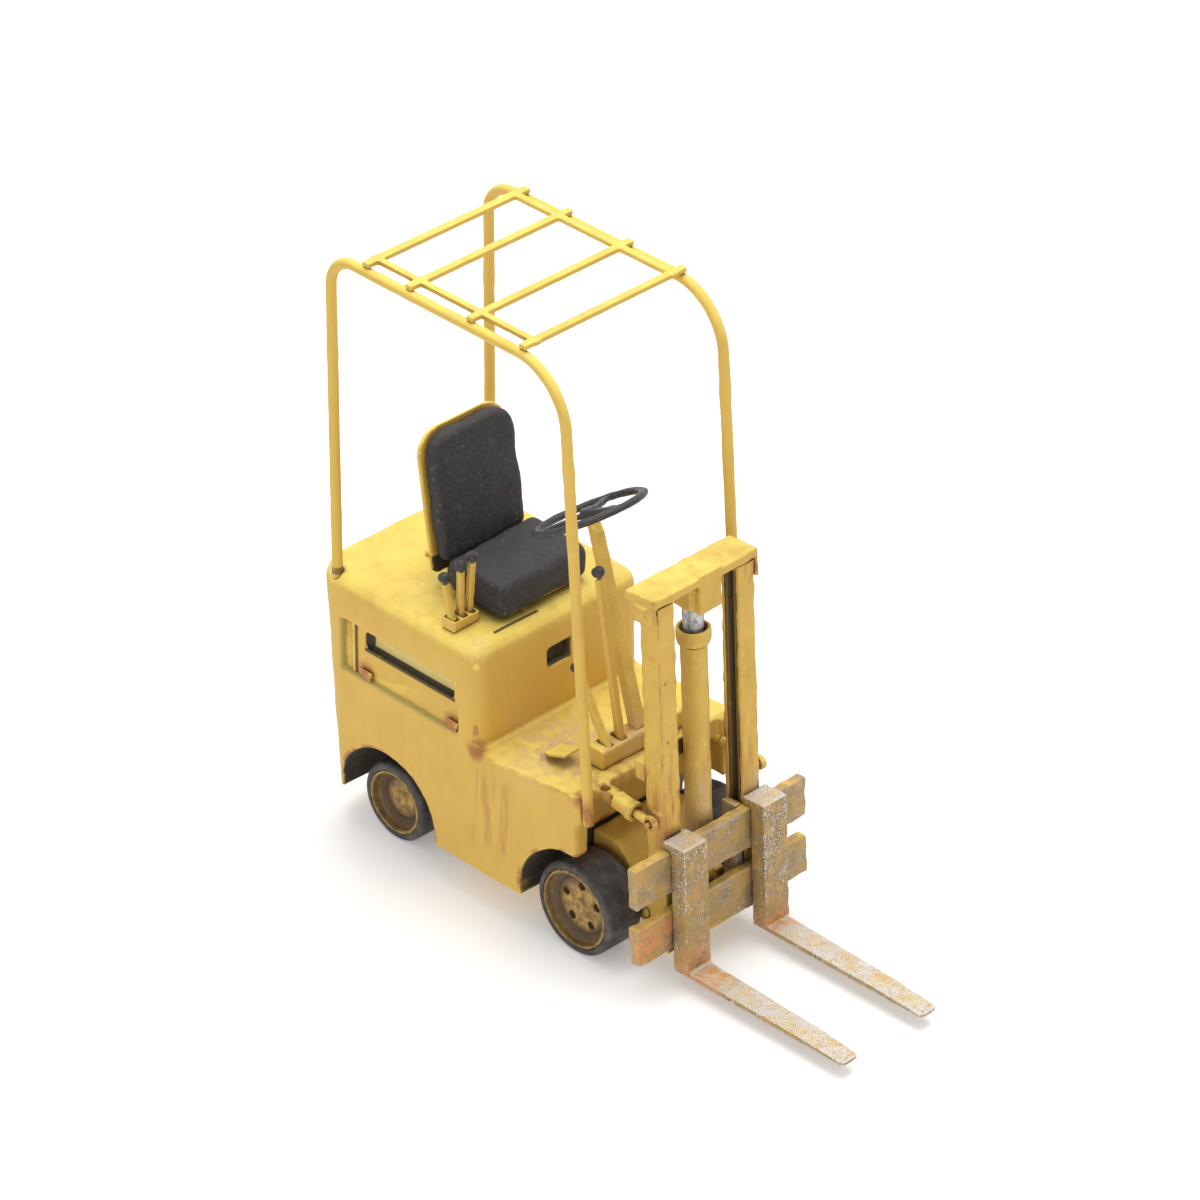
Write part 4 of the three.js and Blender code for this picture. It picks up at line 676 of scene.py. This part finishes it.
for node, grain, lump in (("mast_upright_right", 0.065, 0.05), ("mast_upright_left", 0.065, 0.05),
                          ("mast_lower_tie", 0.08, 0.02), ("mast_brace", 0.07, 0.03),
                          ("lift_barrel", 0.08, 0.03), ("lift_gland", 0.06, 0.03)):
    piece_from(node + "_part", cast(node, grain, ease=2, lump=lump, pitch=0.8), "mast", [node],
               mast_paint)
# The inner rails are painted dark brown: painted shade, as they sit back inside the outer channels.
rail_shade_paint = yellow_paint("rail_shade_paint", corner_shade=1.2, dull=0.6, rub=0.1, top=0.3, marks=[
    ((1.0, -6.5, 4.0), (3.4, -1.0, 18.2), RAIL_SHADE_BROWN, 0.85)])
for node in ("inner_rail_right", "inner_rail_left"):
    piece_from(node + "_part", worn(node, 0.02), "inner_mast", [node], rail_shade_paint)
piece_from("crosshead_part", cast("crosshead", 0.07, ease=2, lump=0.05, pitch=0.7), "inner_mast",
           ["crosshead"], mast_paint)


def silvered(name, tarnish=0.5):
    """Silver paint stippled over dark metal."""
    material, tree, shader, place = blank(name)
    blot = cloud(tree, place, 0.35, 4.0)
    grit = cloud(tree, place, 0.10, 3.0)
    colour = over(tree, (0.60, 0.60, 0.62, 1), (0.16, 0.15, 0.15, 1),
                  times(tree, ramp(tree, blot, 0.42, 0.66), tarnish))
    tree.links.new(colour, shader.inputs["Base Color"])
    tree.links.new(put(tree, "ShaderNodeMapRange", {
        "Value": grit, "To Min": 0.25, "To Max": 0.6}).outputs[0], shader.inputs["Roughness"])
    shader.inputs["Metallic"].default_value = 0.75
    roughen(tree, shader, grit, 0.03, 0.5)
    return material


silver = silvered("rod_silver", 0.8)
piece_from("lift_rod_bar", cast("lift_rod", 0.07, ease=2, lump=0.02, pitch=0.5), "inner_mast", ["lift_rod"],
           silver)

# ---------------------------------------------------------------- tilt cylinders
# Short stubs on each side between the floor's front edge and the uprights, thick with paint.
# Each is a barrel on the truck and a rod on the mast that slides in it.
for side in ("right", "left"):
    for part, slot in (("tilt_barrel", "metal_paint"), ("tilt_rod", "bright_steel")):
        node = part + "_" + side
        piece_from(node + "_part", cast(node, 0.05, ease=2, lump=0.03, pitch=0.5), node, [node],
                   mast_paint)

# ---------------------------------------------------------------- carriage, forks and steering gear
# Two rough flat bars carry the forks, whose shanks hook over the upper one; all of them are
# brown-yellow rubbed through to silver, with orange rust near the heels.
ORANGE_RUST = (0.72, 0.27, 0.09, 1)


def rubbed_steel(name, side_tint, top_highlight_tint, bright, cover, rust_spots=()):
    """Brown-ochre paint, rubbed through to fine silver flecks, lighter on the faces that look up as a
    painted highlight and with umber painted shade in the corners.
    cover gives the grain's level above which the metal shows, on the sides and on the faces that look up."""
    material, tree, shader, place = blank(name)
    blot = cloud(tree, place, 1.0, 4.0)
    stain = cloud(tree, place, 0.7, 4.0, shift=0.02)
    grit = cloud(tree, place, 0.065, 2.0)
    strokes = cloud(tree, place, 0.4, 4.0)
    facing = put(tree, "ShaderNodeTexCoord").outputs["Normal"]
    up = ramp(tree, put(tree, "ShaderNodeSeparateXYZ", {0: facing}).outputs[2], 0.3, 0.8)
    # Faces that look up take the lighter tint: a painted highlight, as if lit from above.
    colour = over(tree, side_tint, top_highlight_tint, up)
    colour = over(tree, colour, UMBER, times(tree, ramp(tree, blot, 0.46, 0.66), 0.55))
    colour = over(tree, colour, MUSTARD, times(tree, ramp(tree, strokes, 0.50, 0.60), 0.6))
    colour = over(tree, colour, SALMON, times(tree, ramp(tree, stain, 0.55, 0.66), 0.45))
    bare_at = put(tree, "ShaderNodeMapRange", {
        "Value": up, "To Min": cover[0], "To Max": cover[1]}).outputs[0]
    edge = put(tree, "ShaderNodeNewGeometry").outputs["Pointiness"]
    ridge = times(tree, ramp(tree, edge, 0.51, 0.56), 0.10)
    level = put(tree, "ShaderNodeMath", {0: blot, 1: 0.5, 2: ridge}, operation="MULTIPLY_ADD").outputs[0]
    level = put(tree, "ShaderNodeMath", {0: level, 1: grit}, operation="ADD").outputs[0]
    above = put(tree, "ShaderNodeMath", {0: level, 1: bare_at}, operation="SUBTRACT").outputs[0]
    bare = ramp(tree, above, 0.0, 0.05)
    for centre, reach in rust_spots:
        patch = times(tree, near(tree, place, centre, reach * 0.3, reach), ramp(tree, strokes, 0.38, 0.52))
        hidden = times(tree, patch, 0.8)
        clear = put(tree, "ShaderNodeMath", {0: 1.0, 1: hidden}, operation="SUBTRACT").outputs[0]
        bare = times(tree, bare, clear)
        colour = over(tree, colour, ORANGE_RUST, times(tree, patch, 0.75))
    colour = over(tree, colour, bright, bare)
    # Umber painted shade where the steel lies in a corner.
    hollow = put(tree, "ShaderNodeAmbientOcclusion", {"Distance": 0.9 * MM}, samples=8).outputs["AO"]
    colour = over(tree, colour, UMBER, times(tree, ramp(tree, hollow, 0.78, 0.25), 0.85))
    tree.links.new(colour, shader.inputs["Base Color"])
    tree.links.new(times(tree, bare, 0.35), shader.inputs["Metallic"])
    tree.links.new(put(tree, "ShaderNodeMapRange", {
        "Value": grit, "To Min": 0.42, "To Max": 0.72}).outputs[0], shader.inputs["Roughness"])
    skin = put(tree, "ShaderNodeMath", {0: grit, 1: strokes}, operation="ADD").outputs[0]
    roughen(tree, shader, skin, 0.04)
    return material


carriage_steel = rubbed_steel(
    "carriage_steel", (0.40, 0.26, 0.080, 1), (0.78, 0.52, 0.13, 1), (0.46, 0.42, 0.38, 1), (0.82, 0.86),
    [((-4.8, -5.5, 2.6), 1.3), ((-3.3, -5.5, 3.0), 0.9)])
for node in ("carriage_upper_bar", "carriage_lower_bar"):
    piece_from(node + "_part", cast(node, 0.065, ease=2, lump=0.08, pitch=0.7), "carriage", [node],
               carriage_steel)
for node in ("carriage_plate_right", "carriage_plate_left"):
    piece_from(node + "_part", worn(node, 0.02), "carriage", [node], carriage_steel)
blade_steel = rubbed_steel(
    "blade_steel", (0.36, 0.235, 0.080, 1), (0.66, 0.47, 0.16, 1), (0.70, 0.67, 0.64, 1), (0.86, 0.71),
    [((-2.5, -7.1, 0.9), 1.9), ((2.5, -6.3, 0.9), 1.2)])
for side in ("right", "left"):
    fork_mesh = cast("fork_" + side, 0.055, ease=1, lump=0.015, pitch=0.8)
    piece_from("fork_arm_" + side, fork_mesh, "fork_" + side, ["fork_" + side], blade_steel)
    piece_from("knuckle_part_" + side, worn("steering_knuckle_" + side, 0.02), "knuckle_" + side,
               ["steering_knuckle_" + side], carriage_steel)
piece_from("track_rod", worn("tie_rod", 0.02), "tie_rod", ["tie_rod"], carriage_steel)
piece_from("steer_beam", worn("steer_axle_beam", 0.03), "truck", ["steer_axle_beam"],
           underside_shade_paint)

# ---------------------------------------------------------------- stage, light and camera
# A white sheet under the model, one broad soft light high above it and a weaker one from the
# side; the camera looks down over the driver's right front corner.
ground = bmesh.new()
bmesh.ops.create_grid(ground, x_segments=1, y_segments=1, size=1.5)
floor_mesh = bpy.data.meshes.new("floor")
ground.to_mesh(floor_mesh)
ground.free()
floor = bpy.data.objects.new("floor", floor_mesh)
scene.collection.objects.link(floor)
floor_white, _, floor_shader, _ = blank("floor_white")
floor_shader.inputs["Base Color"].default_value = (0.93, 0.93, 0.93, 1)
floor_shader.inputs["Roughness"].default_value = 0.9
floor_shader.inputs["Emission Color"].default_value = (1.0, 0.99, 0.97, 1)
floor_shader.inputs["Emission Strength"].default_value = 0.2
floor_mesh.materials.append(floor_white)


def soft_light(name, place, size, power):
    """A square soft light that faces the middle of the model."""
    lamp = bpy.data.lights.new(name, "AREA")
    lamp.size = size
    lamp.energy = power
    holder = bpy.data.objects.new(name, lamp)
    holder.location = place
    holder.rotation_euler = (Vector((0, 0, 0.012)) - Vector(place)).to_track_quat("-Z", "Y").to_euler()
    scene.collection.objects.link(holder)


soft_light("key", (0.10, 0.05, 0.40), 0.30, 1.08)
soft_light("side", (-0.35, -0.15, 0.20), 0.30, 0.20)
world = bpy.data.worlds.new("studio")
world.use_nodes = True
world.node_tree.nodes["Background"].inputs["Color"].default_value = (1, 1, 1, 1)
world.node_tree.nodes["Background"].inputs["Strength"].default_value = 0.70
scene.world = world
scene.view_settings.view_transform = "Standard"

EYE = Vector((-159.7, -158.67, 160.5)) * MM
AIM = Vector((2.83, 5.11, 12.24)) * MM
ROLL = math.radians(0.3)
lens = bpy.data.cameras.new("camera")
lens.lens = 185.7
lens.sensor_width = 36
lens.clip_start = 0.01
lens.clip_end = 10
camera = bpy.data.objects.new("camera", lens)
camera.location = EYE
look = AIM - camera.location
camera.rotation_euler = (look.to_track_quat("-Z", "Y").to_matrix().to_4x4()
                         @ Matrix.Rotation(ROLL, 4, "Z")).to_euler()
scene.collection.objects.link(camera)
scene.camera = camera
